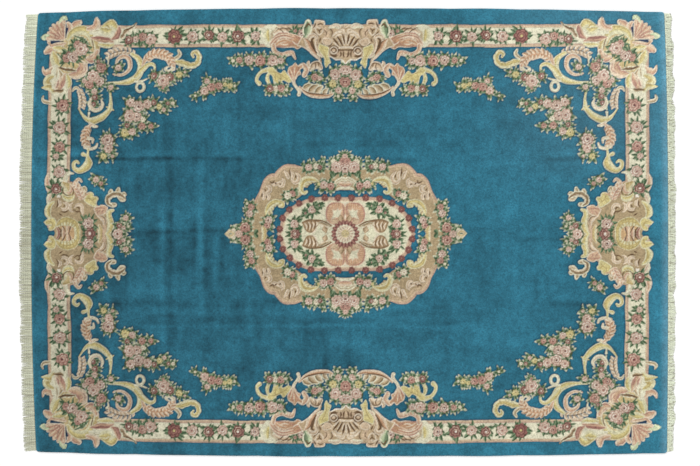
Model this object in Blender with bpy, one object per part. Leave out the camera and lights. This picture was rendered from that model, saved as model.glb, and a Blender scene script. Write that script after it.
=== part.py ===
"""A deep-pile rug of the Aubusson pattern type, with a fringe at both ends, lying flat.

Run it with blender --background --python part.py, or from Blender's text editor.
Metres, +Z up. The origin is on the floor under the middle of the rug. +X runs along its length
to the end with the short fringe, and +Y across it. The underside is flat at z = 0.
"""

import math
import random

import bmesh
import bpy

# The pile and its ground cloth
HALF_LENGTH = 1.525
HALF_WIDTH = 1.072
PILE_TOP = 0.014
GRID_STEP = 0.13
SHARP_ANGLE = math.radians(40)

# Two places closer than this are the same grid line
SAME_PLACE = 1e-6

# The pale flowered band inside the rim, and the line clipped along both its edges
BAND_OUTER_ALONG = 1.438
BAND_OUTER_ACROSS = 1.000
BAND_WIDTH = 0.110
CLIPPED_WIDTH = 0.009
CLIPPED_DEPTH = 0.0018

# The woven strip at each end, and the warp locks that hang from it
WEB_WIDTH = 0.008
WEB_THICKNESS = 0.003
WEB_INSET = 0.006
LOCKS_PER_END = 120
LOCK_SHARE = 0.72
LOCK_UNEVEN = 0.0035
LOCK_SWAY = 0.35
LEAN_POWER = 6

# The shape of a lock. Columns: share of its length, share of its width taken in at each side,
# thickness there.
LOCK_STAGES = (
    (0.5, 0.04, 0.0034),
    (1.0, 0.16, 0.0022),
)

# The gap that keeps two pieces apart where they meet
SEAT_GAP = 0.0003

# How the pile's edge rolls over: distance in from the edge, and the height there
EDGE_ROLL = (
    (0.000, 0.0090),
    (0.004, 0.0126),
    (0.013, PILE_TOP),
)

# Slow unevenness of the pile's top, each row a wave of so many radians a metre.
# Columns: height, waves along, waves across.
PILE_WAVES = (
    (0.0006, 4.1, 5.3),
    (0.0004, -2.3, 6.7),
)

# How far each line of the rug stands off its straight place, in metres along its own axis.
# Columns: nominal place, shift in the middle, shift at the low end, shift at the high end.
LINES_ALONG = {
    "west_edge": (-HALF_LENGTH, 0.001, 0.025, 0.034),
    "west_band": (-BAND_OUTER_ALONG, -0.007, 0.011, 0.013),
    "middle": (0.0, 0.0, 0.0, 0.0),
    "east_band": (BAND_OUTER_ALONG, -0.007, -0.017, -0.007),
    "east_edge": (HALF_LENGTH, 0.001, -0.004, -0.018),
}
LINES_ACROSS = {
    "south_edge": (-HALF_WIDTH, 0.000, 0.022, 0.015),
    "south_band": (-BAND_OUTER_ACROSS, -0.011, 0.019, 0.016),
    "middle": (0.0, 0.0, 0.0, 0.0),
    "north_band": (BAND_OUTER_ACROSS, -0.008, -0.014, -0.007),
    "north_edge": (HALF_WIDTH, 0.000, -0.024, -0.019),
}
BOW_POWER = 2.2

# Slow unevenness of the long sides. Columns: height, length and start of each ripple.
RIPPLES = (
    (0.0016, 0.92, 0.3),
    (0.0010, 0.47, 1.9),
)

# Where the band shows between the ornaments, so where its edges are clipped in.
# Columns: from and to, measured from the rug's middle along that side.
CLIPPED_ALONG = (0.60, 1.12)
CLIPPED_ACROSS = (0.36, 0.68)

# Each fringed end. Columns: side (-1 west, 1 east), lock length, sideways lean of the locks at
# the corners, seed.
ENDS = {
    "fringe_west": (-1, 0.046, -0.004, 11),
    "fringe_east": (1, 0.023, 0.002, 23),
}

COLOURS = {
    "pile": ((0.030, 0.125, 0.175, 1.0), 0.95),
    "warp": ((0.560, 0.550, 0.430, 1.0), 0.85),
}


def clear_scene():
    """Remove every object of the startup scene."""
    for obj in list(bpy.data.objects):
        bpy.data.objects.remove(obj)


def material(name):
    """A Principled material with the colour and roughness that COLOURS gives for this yarn."""
    colour, roughness = COLOURS[name]
    made = bpy.data.materials.new(name)
    made.use_nodes = True
    shader = made.node_tree.nodes["Principled BSDF"]
    shader.inputs["Base Color"].default_value = colour
    shader.inputs["Roughness"].default_value = roughness
    shader.inputs["Metallic"].default_value = 0.0
    return made


def link(obj, collection, finish):
    """Put the object in the rug's collection with its material."""
    collection.objects.link(obj)
    obj.data.materials.append(finish)
    return obj


def bowed_shift(line, share):
    """Shift of one line at a share from -1 to 1 of its run: a power curve each way from the middle."""
    _, middle, low_end, high_end = line
    end = high_end if share > 0.0 else low_end
    return middle + (end - middle) * min(abs(share), 1.1) ** BOW_POWER


def shifted(place, lines, share):
    """A nominal place moved by the shifts of the two lines that it lies between."""
    rows = list(lines.values())
    for before, after in zip(rows, rows[1:]):
        if place <= after[0] or after is rows[-1]:
            weight = (place - before[0]) / (after[0] - before[0])
            low = bowed_shift(before, share)
            high = bowed_shift(after, share)
            return place + low + (high - low) * weight


def ripple(along):
    """The slow in-and-out of a long side at this place along it."""
    return sum(height * math.sin(math.tau * along / length + start) for height, length, start in RIPPLES)


def on_rug(along, across):
    """Where a nominal point of the design lies on the rug as it came off the loom."""
    x = shifted(along, LINES_ALONG, across / HALF_WIDTH)
    y = shifted(across, LINES_ACROSS, along / HALF_LENGTH)
    outside = max(0.0, (abs(across) - BAND_OUTER_ACROSS) / (HALF_WIDTH - BAND_OUTER_ACROSS))
    return x, y + math.copysign(outside * ripple(along), across)


def stations(half, band_outer):
    """Grid lines from -half to half: the edge's roll, the two clipped lines, and even steps between."""
    fixed = [half - distance for distance, _ in EDGE_ROLL]
    for line in (band_outer, band_outer - BAND_WIDTH):
        fixed += [line + CLIPPED_WIDTH / 2, line, line - CLIPPED_WIDTH / 2]
    fixed = sorted(fixed + [0.0])
    places = [fixed[0]]
    for before, after in zip(fixed, fixed[1:]):
        count = max(1, math.ceil((after - before) / GRID_STEP))
        places += [before + (after - before) * i / count for i in range(1, count + 1)]
    return sorted({-place for place in places} | set(places))


def roll_height(inward):
    """Height of the pile this far in from its nearest edge."""
    for (near, low), (far, high) in zip(EDGE_ROLL, EDGE_ROLL[1:]):
        if inward < far - SAME_PLACE:
            return low + (high - low) * max(0.0, (inward - near) / (far - near))
    return PILE_TOP


def clipped(along, across):
    """Depth of the line clipped along the band's edges at a grid point."""
    depth = 0.0
    for inner in (0.0, BAND_WIDTH):
        on_long = abs(abs(across) - (BAND_OUTER_ACROSS - inner)) < SAME_PLACE
        on_end = abs(abs(along) - (BAND_OUTER_ALONG - inner)) < SAME_PLACE
        if on_long and CLIPPED_ALONG[0] <= abs(along) <= CLIPPED_ALONG[1]:
            depth = CLIPPED_DEPTH
        if on_end and CLIPPED_ACROSS[0] <= abs(across) <= CLIPPED_ACROSS[1]:
            depth = CLIPPED_DEPTH
    return depth


def pile_height(along, across, inward):
    """Top of the pile: its rolled edge, less the clipped lines, with a slow unevenness inside."""
    wave = sum(height * math.sin(u * along + v * across) for height, u, v in PILE_WAVES)
    calm = min(1.0, max(0.0, (inward - EDGE_ROLL[-1][0]) / GRID_STEP))
    return roll_height(inward) - clipped(along, across) + wave * calm


def build_pile(collection):
    """The rug itself, ground cloth and pile in one: a shaped grid, its rim drawn down to the floor."""
    columns = stations(HALF_LENGTH, BAND_OUTER_ALONG)
    rows = stations(HALF_WIDTH, BAND_OUTER_ACROSS)
    corner_cut = EDGE_ROLL[1][0]
    shape = bmesh.new()
    bmesh.ops.create_grid(shape, x_segments=len(columns) - 1, y_segments=len(rows) - 1, size=0.5)
    for vert in shape.verts:
        column = round((vert.co.x + 0.5) * (len(columns) - 1))
        row = round((vert.co.y + 0.5) * (len(rows) - 1))
        along, across = columns[column], rows[row]
        from_end = columns[-1] - abs(along)
        from_side = rows[-1] - abs(across)
        height = pile_height(along, across, min(from_end, from_side))
        if from_end + from_side < SAME_PLACE:
            along -= math.copysign(corner_cut / 2, along)
            across -= math.copysign(corner_cut / 2, across)
        vert.co = (*on_rug(along, across), height)
    rim = [edge for edge in shape.edges if edge.is_boundary]
    drawn = bmesh.ops.extrude_edge_only(shape, edges=rim)["geom"]
    foot = [item for item in drawn if isinstance(item, bmesh.types.BMVert)]
    for vert in foot:
        vert.co.z = 0.0
    loop = [item for item in drawn if isinstance(item, bmesh.types.BMEdge)]
    bmesh.ops.contextual_create(shape, geom=loop)
    bmesh.ops.recalc_face_normals(shape, faces=shape.faces)
    mesh = bpy.data.meshes.new("rug_pile")
    shape.to_mesh(mesh)
    shape.free()
    mesh.shade_smooth()
    mesh.set_sharp_from_angle(angle=SHARP_ANGLE)
    return link(bpy.data.objects.new("rug_pile", mesh), collection, material("pile"))


def end_point(side, outward, across, lean=0.0):
    """A point beyond one end of the rug, this far out from the pile's edge."""
    x, y = on_rug(side * HALF_LENGTH, across)
    return x + side * (SEAT_GAP + outward), y + lean


def build_fringe(name, collection, finish):
    """One end's woven strip with its warp locks: a strip of cells, every second one drawn out twice."""
    side, lock_length, lean, seed = ENDS[name]
    chance = random.Random(seed)
    half = HALF_WIDTH - WEB_INSET
    pitch = 2 * half / LOCKS_PER_END
    gap = pitch * (1 - LOCK_SHARE)
    shape = bmesh.new()
    bmesh.ops.create_grid(shape, x_segments=1, y_segments=2 * LOCKS_PER_END - 1, size=0.5)
    shape.verts.ensure_lookup_table()
    outer = {}
    for vert in shape.verts:
        row = round((vert.co.y + 0.5) * (2 * LOCKS_PER_END - 1))
        across = -half + gap / 2 + (row // 2) * pitch + (row % 2) * (pitch - gap)
        is_outer = vert.co.x > 0.0
        vert.co = (*end_point(side, WEB_WIDTH if is_outer else 0.0, across), WEB_THICKNESS)
        if is_outer:
            outer[row] = (vert, across)
    for lock in range(LOCKS_PER_END):
        (first, low), (last, high) = outer[2 * lock], outer[2 * lock + 1]
        edge = shape.edges.get((first, last))
        reach = lock_length + chance.uniform(-1.0, 0.6) * LOCK_UNEVEN
        sway = chance.uniform(-LOCK_SWAY, LOCK_SWAY) * gap
        for share, narrow, height in LOCK_STAGES:
            drawn = bmesh.ops.extrude_edge_only(shape, edges=[edge])["geom"]
            edge = next(item for item in drawn if isinstance(item, bmesh.types.BMEdge))
            # The two ends of the new edge keep the order of the lock's sides across the rug.
            ends = sorted(edge.verts, key=lambda vert: vert.co.y)
            inset = (high - low) * narrow
            for vert, across in zip(ends, (low + inset, high - inset)):
                shift = (sway + lean * min(1.0, abs(across) / half) ** LEAN_POWER) * share
                vert.co = (*end_point(side, WEB_WIDTH + reach * share, across, shift), height)
    drawn = bmesh.ops.extrude_face_region(shape, geom=list(shape.faces))["geom"]
    for vert in (item for item in drawn if isinstance(item, bmesh.types.BMVert)):
        vert.co.z = 0.0
    bmesh.ops.recalc_face_normals(shape, faces=shape.faces)
    mesh = bpy.data.meshes.new(name)
    shape.to_mesh(mesh)
    shape.free()
    return link(bpy.data.objects.new(name, mesh), collection, finish)


def main():
    """Build the rug: its pile and the two fringed ends."""
    clear_scene()
    rug = bpy.data.collections.new("aubusson_rug")
    bpy.context.scene.collection.children.link(rug)
    build_pile(rug)
    warp_finish = material("warp")
    for name in ENDS:
        build_fringe(name, rug, warp_finish)


main()
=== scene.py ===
"""The looks of a room rug in the Aubusson pattern: carved wool pile, ground cloth and warp fringe.

The pattern is charted on point paper, as a weaver's cartoon is. One square of the paper is 4.785 mm
on the rug, squares are counted from the middle of the rug out, along its length (u) and across
it (v), and only one quarter is charted, because the other three are the same chart turned over.
The chart is painted as colour and clipped depth on a fine raster, and the pile is a height field
that reads both from it and lies as bowed as the rug came off the loom.
"""

import logging
import math
from dataclasses import dataclass, field
from enum import Enum
from functools import partial
from typing import Sequence, Union

import bpy
import numpy as np
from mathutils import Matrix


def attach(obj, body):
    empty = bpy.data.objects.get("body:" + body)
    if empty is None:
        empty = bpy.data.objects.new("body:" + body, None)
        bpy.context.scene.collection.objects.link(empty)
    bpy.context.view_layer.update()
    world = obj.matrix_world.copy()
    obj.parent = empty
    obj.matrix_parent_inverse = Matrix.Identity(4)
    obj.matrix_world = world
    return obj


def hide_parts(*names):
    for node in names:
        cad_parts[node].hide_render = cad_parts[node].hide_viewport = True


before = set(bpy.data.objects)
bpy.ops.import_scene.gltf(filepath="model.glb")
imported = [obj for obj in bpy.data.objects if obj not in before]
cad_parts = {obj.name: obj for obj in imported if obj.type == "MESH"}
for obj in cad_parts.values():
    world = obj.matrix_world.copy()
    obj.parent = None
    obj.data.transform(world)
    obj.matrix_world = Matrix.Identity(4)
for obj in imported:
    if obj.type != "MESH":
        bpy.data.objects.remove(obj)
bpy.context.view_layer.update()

LOG = logging.getLogger("rug")

# Metres to one square of the point paper
SQUARE = 0.004785

# What the studio's light multiplies a dye by, and what sheen and gloss add to it
STUDIO_LIGHT = 1.14
WOOL_HAZE = 0.009

# The darkest that a dye gets in linear light
DARKEST = 0.002

Array = np.ndarray
Colour = tuple[float, float, float, float]

# Places as u, v, u, v and so on, or as pairs
Points = Union[Sequence[float], Sequence[tuple[float, float]], Array]


class Yarn(Enum):
    """The dyed wools, each as red, green and blue of a screen colour from 0 to 255."""

    BLUE = (50, 104, 123)
    NAVY = (26, 62, 82)
    WHITE = (224, 218, 204)
    CREAM = (212, 208, 182)
    MINT = (194, 204, 166)
    BLUSH = (207, 190, 165)
    MAUVE = (188, 165, 146)
    SALMON = (192, 161, 132)
    SHELL = (186, 158, 137)
    KHAKI = (184, 162, 130)
    CORAL = (184, 146, 116)
    ROSE = (168, 128, 114)
    WINE = (132, 92, 84)
    PLUM = (94, 58, 60)
    STRAW = (205, 201, 168)
    GOLD = (199, 186, 130)
    OCHRE = (170, 152, 104)
    PEARL = (214, 200, 178)
    IVORY = (207, 204, 176)
    FAWN = (196, 173, 144)
    AMBER = (192, 160, 120)
    HONEY = (190, 170, 126)
    TAN = (168, 149, 117)
    UMBER = (104, 82, 62)
    SAGE = (118, 136, 106)
    MOSS = (70, 90, 66)
    BARK = (146, 122, 94)
    BRACKEN = (80, 84, 62)

    @property
    def dye(self) -> Array:
        """The colour as linear light, less what the studio's light and the wool's sheen add."""
        share = np.array(self.value, float) / 255.0
        linear = np.where(share > 0.04045, ((share + 0.055) / 1.055) ** 2.4, share / 12.92)
        return np.maximum(linear / STUDIO_LIGHT - WOOL_HAZE, DARKEST)


class Wools(Enum):
    """Four wools that shade one form."""

    @property
    def dyes(self) -> list[Array]:
        """Their linear colours."""
        return [yarn.dye for yarn in self.value]


class Shades(Wools):
    """The wools of a form: its outline, its body, its lit side and its dark side."""

    GOLD = (Yarn.STRAW, Yarn.GOLD, Yarn.STRAW, Yarn.OCHRE)
    SALMON = (Yarn.PEARL, Yarn.SALMON, Yarn.BLUSH, Yarn.ROSE)
    ROSE = (Yarn.BLUSH, Yarn.ROSE, Yarn.SALMON, Yarn.WINE)
    BLUSH = (Yarn.CREAM, Yarn.BLUSH, Yarn.CREAM, Yarn.ROSE)
    TAN = (Yarn.CREAM, Yarn.TAN, Yarn.BLUSH, Yarn.UMBER)
    FAWN = (Yarn.PEARL, Yarn.FAWN, Yarn.PEARL, Yarn.UMBER)
    PINKISH = (Yarn.SHELL, Yarn.FAWN, Yarn.FAWN, Yarn.TAN)
    KHAKI = (Yarn.PEARL, Yarn.KHAKI, Yarn.PEARL, Yarn.UMBER)
    CORAL = (Yarn.PEARL, Yarn.CORAL, Yarn.BLUSH, Yarn.UMBER)
    BARK = (Yarn.BARK, Yarn.KHAKI, Yarn.FAWN, Yarn.BARK)
    UMBER = (Yarn.TAN, Yarn.UMBER, Yarn.TAN, Yarn.UMBER)
    HONEY = (Yarn.BLUSH, Yarn.HONEY, Yarn.STRAW, Yarn.OCHRE)
    CREAM = (Yarn.CREAM, Yarn.CREAM, Yarn.CREAM, Yarn.TAN)
    MINT = (Yarn.MINT, Yarn.MINT, Yarn.CREAM, Yarn.SAGE)
    LEAF = (Yarn.CREAM, Yarn.SAGE, Yarn.MINT, Yarn.MOSS)
    STEM = (Yarn.SAGE, Yarn.SAGE, Yarn.MINT, Yarn.MOSS)
    SLIT = (Yarn.NAVY, Yarn.NAVY, Yarn.NAVY, Yarn.NAVY)
    EARTH = (Yarn.SHELL, Yarn.TAN, Yarn.TAN, Yarn.TAN)
    AMBER = (Yarn.SHELL, Yarn.AMBER, Yarn.HONEY, Yarn.TAN)
    IVORY = (Yarn.BLUSH, Yarn.IVORY, Yarn.IVORY, Yarn.PEARL)
    WINE = (Yarn.WINE, Yarn.WINE, Yarn.ROSE, Yarn.PLUM)


class Bloom(Wools):
    """The wools of a rose: its shaded folds, the petals, their lit rims and its heart."""

    BLUSH = (Yarn.ROSE, Yarn.MAUVE, Yarn.WHITE, Yarn.WINE)
    PINK = (Yarn.WINE, Yarn.MAUVE, Yarn.WHITE, Yarn.PLUM)
    ROSE = (Yarn.WINE, Yarn.ROSE, Yarn.PEARL, Yarn.PLUM)
    DISC = (Yarn.PLUM, Yarn.WINE, Yarn.WINE, Yarn.ROSE)
    WINE = (Yarn.PLUM, Yarn.WINE, Yarn.BLUSH, Yarn.WHITE)
    EYED = (Yarn.PLUM, Yarn.WINE, Yarn.ROSE, Yarn.GOLD)
    GOLD = (Yarn.OCHRE, Yarn.GOLD, Yarn.STRAW, Yarn.UMBER)
    CREAM = (Yarn.TAN, Yarn.CREAM, Yarn.WHITE, Yarn.ROSE)


def smooth(points: Points) -> Array:
    """Runs a smooth line through a few points, in five straight pieces to each stretch.

    Each stretch is a Catmull-Rom cubic: it passes its two points in the direction of the chord
    between their neighbours.
    """
    knots = np.array(points, float).reshape(-1, 2)
    if len(knots) == 2:
        return knots
    ends = np.vstack([2 * knots[0] - knots[1], knots, 2 * knots[-1] - knots[-2]])
    t = np.linspace(0.0, 1.0, 5, endpoint=False)[:, None]
    runs = []
    for a, b, c, d in zip(ends, ends[1:], ends[2:], ends[3:]):
        runs.append(b + 0.5 * t * (c - a + t * (2 * a - 5 * b + 4 * c - d + t * (3 * (b - c) + d - a))))
    return np.vstack([*runs, knots[-1:]])


def outline(points: Sequence[float]) -> Array:
    """A smooth closed line through u, v, u, v and so on."""
    return smooth([*points, *points[:2]])[:-1]


def ring(u: float, v: float, along: float, across: float) -> Points:
    """Points round an ellipse with these half sizes, the last one on the first."""
    turn = np.linspace(0.0, math.tau, 9)
    return [(u + along * math.cos(a), v + across * math.sin(a)) for a in turn]


def spiral(u: float, v: float, radius: float, start: float, turns: float) -> Points:
    """Points of a curl that winds in to a third of its radius, from a start angle in degrees."""
    count = max(4, int(abs(turns) * 8) + 1)
    shares = np.linspace(0.0, 1.0, count)
    angles = math.radians(start) + math.tau * turns * shares
    reach = radius * (1.0 - 0.66 * shares)
    return list(zip(u + reach * np.cos(angles), v + reach * np.sin(angles)))


def nearest(path: Array, u: Array, v: Array) -> tuple[Array, Array]:
    """Finds how far along a line and how far off it each place is.

    Each straight piece is tried in turn: a place is projected on it and held between its ends,
    and the piece with the shortest distance is kept. The side is the sign of the cross product.

    Args:
        path: The line's points.
        u: Places along the rug.
        v: Places across it.

    Returns:
        The share along the line from 0 to 1, and the distance, negative on its right side.
    """
    best = np.full(u.shape, 1e9)
    share = np.zeros(u.shape)
    side = np.ones(u.shape)
    pieces = len(path) - 1
    for index in range(pieces):
        start = path[index]
        run = path[index + 1] - start
        du = u - start[0]
        dv = v - start[1]
        t = np.clip((du * run[0] + dv * run[1]) / max(1e-9, run @ run), 0.0, 1.0)
        gap = (du - t * run[0]) ** 2 + (dv - t * run[1]) ** 2
        closer = gap < best
        best = np.where(closer, gap, best)
        share = np.where(closer, (index + t) / pieces, share)
        side = np.where(closer, run[0] * dv - run[1] * du, side)
    return share, np.copysign(np.sqrt(best), side)


def within(path: Array, u: Array, v: Array) -> Array:
    """How deep inside a closed outline each place is, negative outside: the distance to the
    outline, with the sign of an even or odd count of the sides crossed."""
    closed = np.vstack([path, path[:1]])
    odd = np.zeros(u.shape, bool)
    for (u0, v0), (u1, v1) in zip(closed, closed[1:]):
        spans = (v0 > v) != (v1 > v)
        odd ^= spans & (u < u0 + (v - v0) * (u1 - u0) / (v1 - v0 if v1 != v0 else 1e-9))
    gap = np.abs(nearest(closed, u, v)[1])
    return np.where(odd, gap, -gap)


def lattice(u: Array, v: Array, step_u: float, step_v: float, seed: int) -> Array:
    """Smooth unevenness from -1 to 1: random values on a lattice, eased between its points."""
    values = np.random.default_rng(seed).uniform(-1.0, 1.0, (64, 64))
    a = u / step_u + 1000.0
    b = v / step_v + 1000.0
    i = np.floor(a).astype(int)
    j = np.floor(b).astype(int)
    p = a - i
    q = b - j
    p = p * p * (3 - 2 * p)
    q = q * q * (3 - 2 * q)
    low = values[j % 64, i % 64] * (1 - p) + values[j % 64, (i + 1) % 64] * p
    high = values[(j + 1) % 64, i % 64] * (1 - p) + values[(j + 1) % 64, (i + 1) % 64] * p
    return low * (1 - q) + high * q


def blend(colour: Array, dye: Array, share: Array) -> Array:
    """Takes a colour this share of the way to a dye."""
    return colour + (dye - colour) * share[..., None]


@dataclass
class Window:
    """The part of the chart that one motif covers: its rows and columns, and their places."""

    rows: slice
    columns: slice
    u: Array
    v: Array


@dataclass
class Chart:
    """One quarter of the pattern on fine point paper: the colour of each cell, and what share of
    it belongs to a motif and not to the blue ground.

    Attributes:
        cell: Size of a cell, in squares.
        reach: How far the chart goes along and across the rug, in squares.
        blur: How far the yarns' colours run into each other.
        bite: How much crisper than that they look to the eye.
        shade: How dark the painted shade of the groove makes the blue beside a motif.
        groove: Depth of the clipped outlines, in metres.
        crease: Depth of the creases inside a motif, in metres.
        steepest: Brightness gained in a square where a crease is deepest.
    """

    cell: float = 0.3
    reach: tuple[float, float] = (322.0, 228.0)
    blur: float = 0.3
    bite: float = 0.7
    shade: float = 0.62
    groove: float = 0.0024
    crease: float = 0.0011
    steepest: float = 0.16
    colour: Array = field(init=False)
    figure: Array = field(init=False)
    depth: Array = field(init=False)

    def __post_init__(self) -> None:
        """Starts with plain blue ground."""
        shape = (round(self.reach[1] / self.cell), round(self.reach[0] / self.cell))
        self.colour = np.empty((*shape, 3))
        self.colour[:] = Yarn.BLUE.dye
        self.figure = np.zeros(shape)
        self.depth = np.zeros(shape)

    def around(self, places: Points, pad: float) -> Window:
        """The cells round some places, and a little more than this far beyond them."""
        u0, v0 = (max(0, math.floor(x / self.cell) - 2) for x in np.min(places, axis=0) - pad)
        u1, v1 = (max(1, math.ceil(x / self.cell) + 2) for x in np.max(places, axis=0) + pad)
        rows = slice(v0, min(v1, self.figure.shape[0]))
        columns = slice(u0, min(u1, self.figure.shape[1]))
        u, v = np.meshgrid(
            (np.arange(columns.start, columns.stop) + 0.5) * self.cell,
            (np.arange(rows.start, rows.stop) + 0.5) * self.cell,
        )
        return Window(rows, columns, u, v)

    def lay(self, window: Window, share: Array, dye: Array, figure: float = 1.0) -> None:
        """Works wool into the cells of a window.

        Args:
            window: The cells.
            share: The share of each cell that the wool takes, from 0 to 1.
            dye: One linear colour, or that of each cell.
            figure: 1 for a motif, and 0 where the ground comes back.
        """
        cells = (window.rows, window.columns)
        self.colour[cells] = blend(self.colour[cells], dye, share)
        self.figure[cells] += (figure - self.figure[cells]) * share

    def soften(self, values: Array, radius: float) -> Array:
        """A box blur along both ways, twice over, with this radius in squares."""
        reach = max(1, round(radius / self.cell))
        for axis in (0, 1) * 2:
            spread = [(reach, reach) if k == axis else (0, 0) for k in range(values.ndim)]
            total = np.pad(values, spread, mode="edge").cumsum(axis=axis)
            lead = np.take(total, range(2 * reach, total.shape[axis]), axis=axis)
            trail = np.take(total, range(0, total.shape[axis] - 2 * reach), axis=axis)
            values = (lead - trail) / (2 * reach)
        return values

    def clip(self) -> None:
        """Clips the outlines into the pile, and paints shade on the blue beside them where the groove would
        be in shadow.

        The groove is deepest where the softened share of motif is one half. Inside a motif the
        crease follows the steepness of its brightness.
        """
        halo = self.soften(self.figure, 1.0)
        edge = 4.0 * halo * (1.0 - halo)
        # Painted shade: the blue beside an outline is darkened towards navy, as the clipped groove would
        # shade it
        shadow = edge * (1.0 - self.figure)
        self.colour = blend(self.colour, Yarn.NAVY.dye, self.shade * np.clip(shadow, 0, 1))
        light = self.soften(self.colour.mean(axis=2), self.blur)
        steep = np.hypot(*np.gradient(light, self.cell))
        crease = np.clip(steep / self.steepest, 0.0, 1.0) * self.figure
        self.depth = self.soften(self.groove * edge + self.crease * crease, self.blur)
        soft = self.soften(self.colour, 2.2 * self.blur)
        crisp = self.soften(self.colour, self.blur) + self.bite * (self.colour - soft)
        self.colour = np.clip(crisp, DARKEST, 1.0)

    def read(self, u: Array, v: Array) -> tuple[Array, Array, Array]:
        """Reads the chart at places of the rug, in squares, between the centres of its cells.

        Args:
            u: Places along the rug, on either side of the middle.
            v: Places across it.

        Returns:
            The linear colour, the clipped depth in metres and the share of motif at each place.
        """
        rows, columns = self.figure.shape
        a = np.clip(np.abs(u) / self.cell - 0.5, 0.0, columns - 1.001)
        b = np.clip(np.abs(v) / self.cell - 0.5, 0.0, rows - 1.001)
        i = a.astype(int)
        j = b.astype(int)
        p = a - i
        q = b - j
        found = []
        for values in (self.colour, self.depth, self.figure):
            x, y = (p[..., None], q[..., None]) if values.ndim == 3 else (p, q)
            low = values[j, i] * (1 - x) + values[j, i + 1] * x
            high = values[j + 1, i] * (1 - x) + values[j + 1, i + 1] * x
            found.append(low * (1 - y) + high * y)
        return tuple(found)


# Squares over which the edge of a form fades
FADE = 0.5


def cover(depth: Array) -> Array:
    """The share of a cell inside a form, from how deep inside it the cell's centre is."""
    return np.clip(depth / FADE + 0.5, 0.0, 1.0)


def ease(values: Array, low: float, high: float) -> Array:
    """A smooth step from 0 at low to 1 at high."""
    t = np.clip((values - low) / (high - low), 0.0, 1.0)
    return t * t * (3 - 2 * t)


@dataclass(frozen=True)
class Scroll:
    """A stroke that swells and tapers along a line: a stem, a C-scroll or, lobed, an acanthus leaf.

    Attributes:
        shades: Its wools.
        widths: Half widths, spread evenly from its start to its end, in squares.
        points: What its middle line passes through.
        lobes: Lobes along each side, none on a plain stroke.
        bite: How deep the notch between two lobes goes, as a share of the half width.
        side: 1 or -1 where only its left or its right side is lobed, as seen from its start.
        rim: Width of its outline.
    """

    shades: Shades
    widths: tuple[float, ...]
    points: Points
    lobes: int = 0
    bite: float = 0.42
    side: int = 0
    rim: float = 0.85

    def paint(self, chart: Chart) -> None:
        """Works the stroke into the chart: outline, body, a lit side and a dark side."""
        path = smooth(self.points)
        window = chart.around(path, max(self.widths) + 1.0)
        share, off = nearest(path, window.u, window.v)
        half = np.interp(share, np.linspace(0.0, 1.0, len(self.widths)), self.widths)
        notch = np.ones(half.shape)
        if self.lobes:
            lean = 0.75 * np.abs(off) / np.maximum(half, 0.1)
            notch = np.abs(np.sin(math.pi * (self.lobes * share - lean))) ** 0.7
            notch = np.where(off * self.side < 0.0, 1.0, notch)
            half = half * (1.0 - self.bite + self.bite * notch)
        inside = half - np.abs(off)
        across = off / np.maximum(half, 0.1)
        edge, body, lit, dark = self.shades.dyes
        colour = blend(body, lit, 0.9 * ease(across, -0.05, 0.45))
        colour = blend(colour, dark, 0.85 * ease(-across, 0.15, 0.65))
        if self.lobes:
            vein = (1.0 - ease(notch, 0.18, 0.5)) * ease(np.abs(across), 0.1, 0.35)
            rib = 1.0 - ease(np.abs(off), 0.25, 0.7)
            colour = blend(colour, dark, 0.8 * np.maximum(vein, rib))
        rim = (1.0 - cover(inside - self.rim)) * ease(half, self.rim * 0.9, self.rim * 1.8)
        chart.lay(window, cover(inside), blend(colour, edge, rim))


@dataclass(frozen=True)
class Frond:
    """A leaf cut into lobes: each leans forward from a middle line and laps over the one before.

    Attributes:
        shades: Its wools.
        points: What its middle line passes through, from its foot to its tip.
        lengths: How far the lobes reach from the line, spread evenly from its foot to its tip.
        count: Lobes along one side.
        side: 1 for lobes on the left of the line, -1 on the right, 0 on both.
        lean: Angle between a lobe and the line, in degrees.
        girth: Half width of a lobe, as a share of its length.
        rim: Width of each lobe's outline.
        ahead: How far each way along the line its direction is taken, as a share of it.
        bends: Turns of a lobe's three stretches from its lean, in degrees.
    """

    shades: Shades
    points: Points
    lengths: tuple[float, ...]
    count: int
    side: int = 0
    lean: float = 52.0
    girth: float = 0.36
    rim: float = 0.8
    ahead: float = 0.04
    bends: tuple[float, ...] = (14.0, 0.0, -14.0)

    def paint(self, chart: Chart) -> None:
        """Works the lobes from the foot to the tip; each bends back a little towards its point."""
        path = smooth(self.points)
        runs = np.hypot(*np.diff(path, axis=0).T)
        marks = np.concatenate([[0.0], np.cumsum(runs)]) / runs.sum()
        for share in (np.arange(self.count) + 0.4) / self.count:
            root, far, near = (
                [np.interp(at, marks, path[:, axis]) for axis in (0, 1)]
                for at in (share, min(1.0, share + self.ahead), share - self.ahead)
            )
            way = math.atan2(far[1] - near[1], far[0] - near[0])
            length = float(np.interp(share, np.linspace(0.0, 1.0, len(self.lengths)), self.lengths))
            half = self.girth * length
            for side in (self.side,) if self.side else (1, -1):
                u, v = root
                spots = [u, v]
                for bend in self.bends:
                    turn = way + side * math.radians(self.lean + bend)
                    u += length / 3 * math.cos(turn)
                    v += length / 3 * math.sin(turn)
                    spots += [u, v]
                Scroll(self.shades, (0.6 * half, half, half, 0.5 * half), spots, rim=self.rim).paint(chart)


@dataclass(frozen=True)
class Patch:
    """A filled shape with a smooth outline, such as the ground of a cartouche.

    Attributes:
        shades: Its wools: the first for its outline and the second for its ground.
        points: What its outline passes through.
        rim: Width of its outline.
    """

    shades: Shades
    points: Points
    rim: float = 1.2

    def paint(self, chart: Chart) -> None:
        """Fills the outline, a little lighter and darker from place to place."""
        path = outline(self.points)
        window = chart.around(path, 2.0)
        inside = within(path, window.u, window.v)
        edge, body, lit, dark = self.shades.dyes
        tone = lattice(window.u, window.v, 7.0, 7.0, len(self.points) // 2)
        colour = blend(body, dark, 0.2 * ease(tone, 0.0, 0.8))
        colour = blend(colour, lit, 0.2 * ease(-tone, 0.0, 0.8))
        chart.lay(window, cover(inside), blend(colour, edge, 1.0 - cover(inside - self.rim)))


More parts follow.
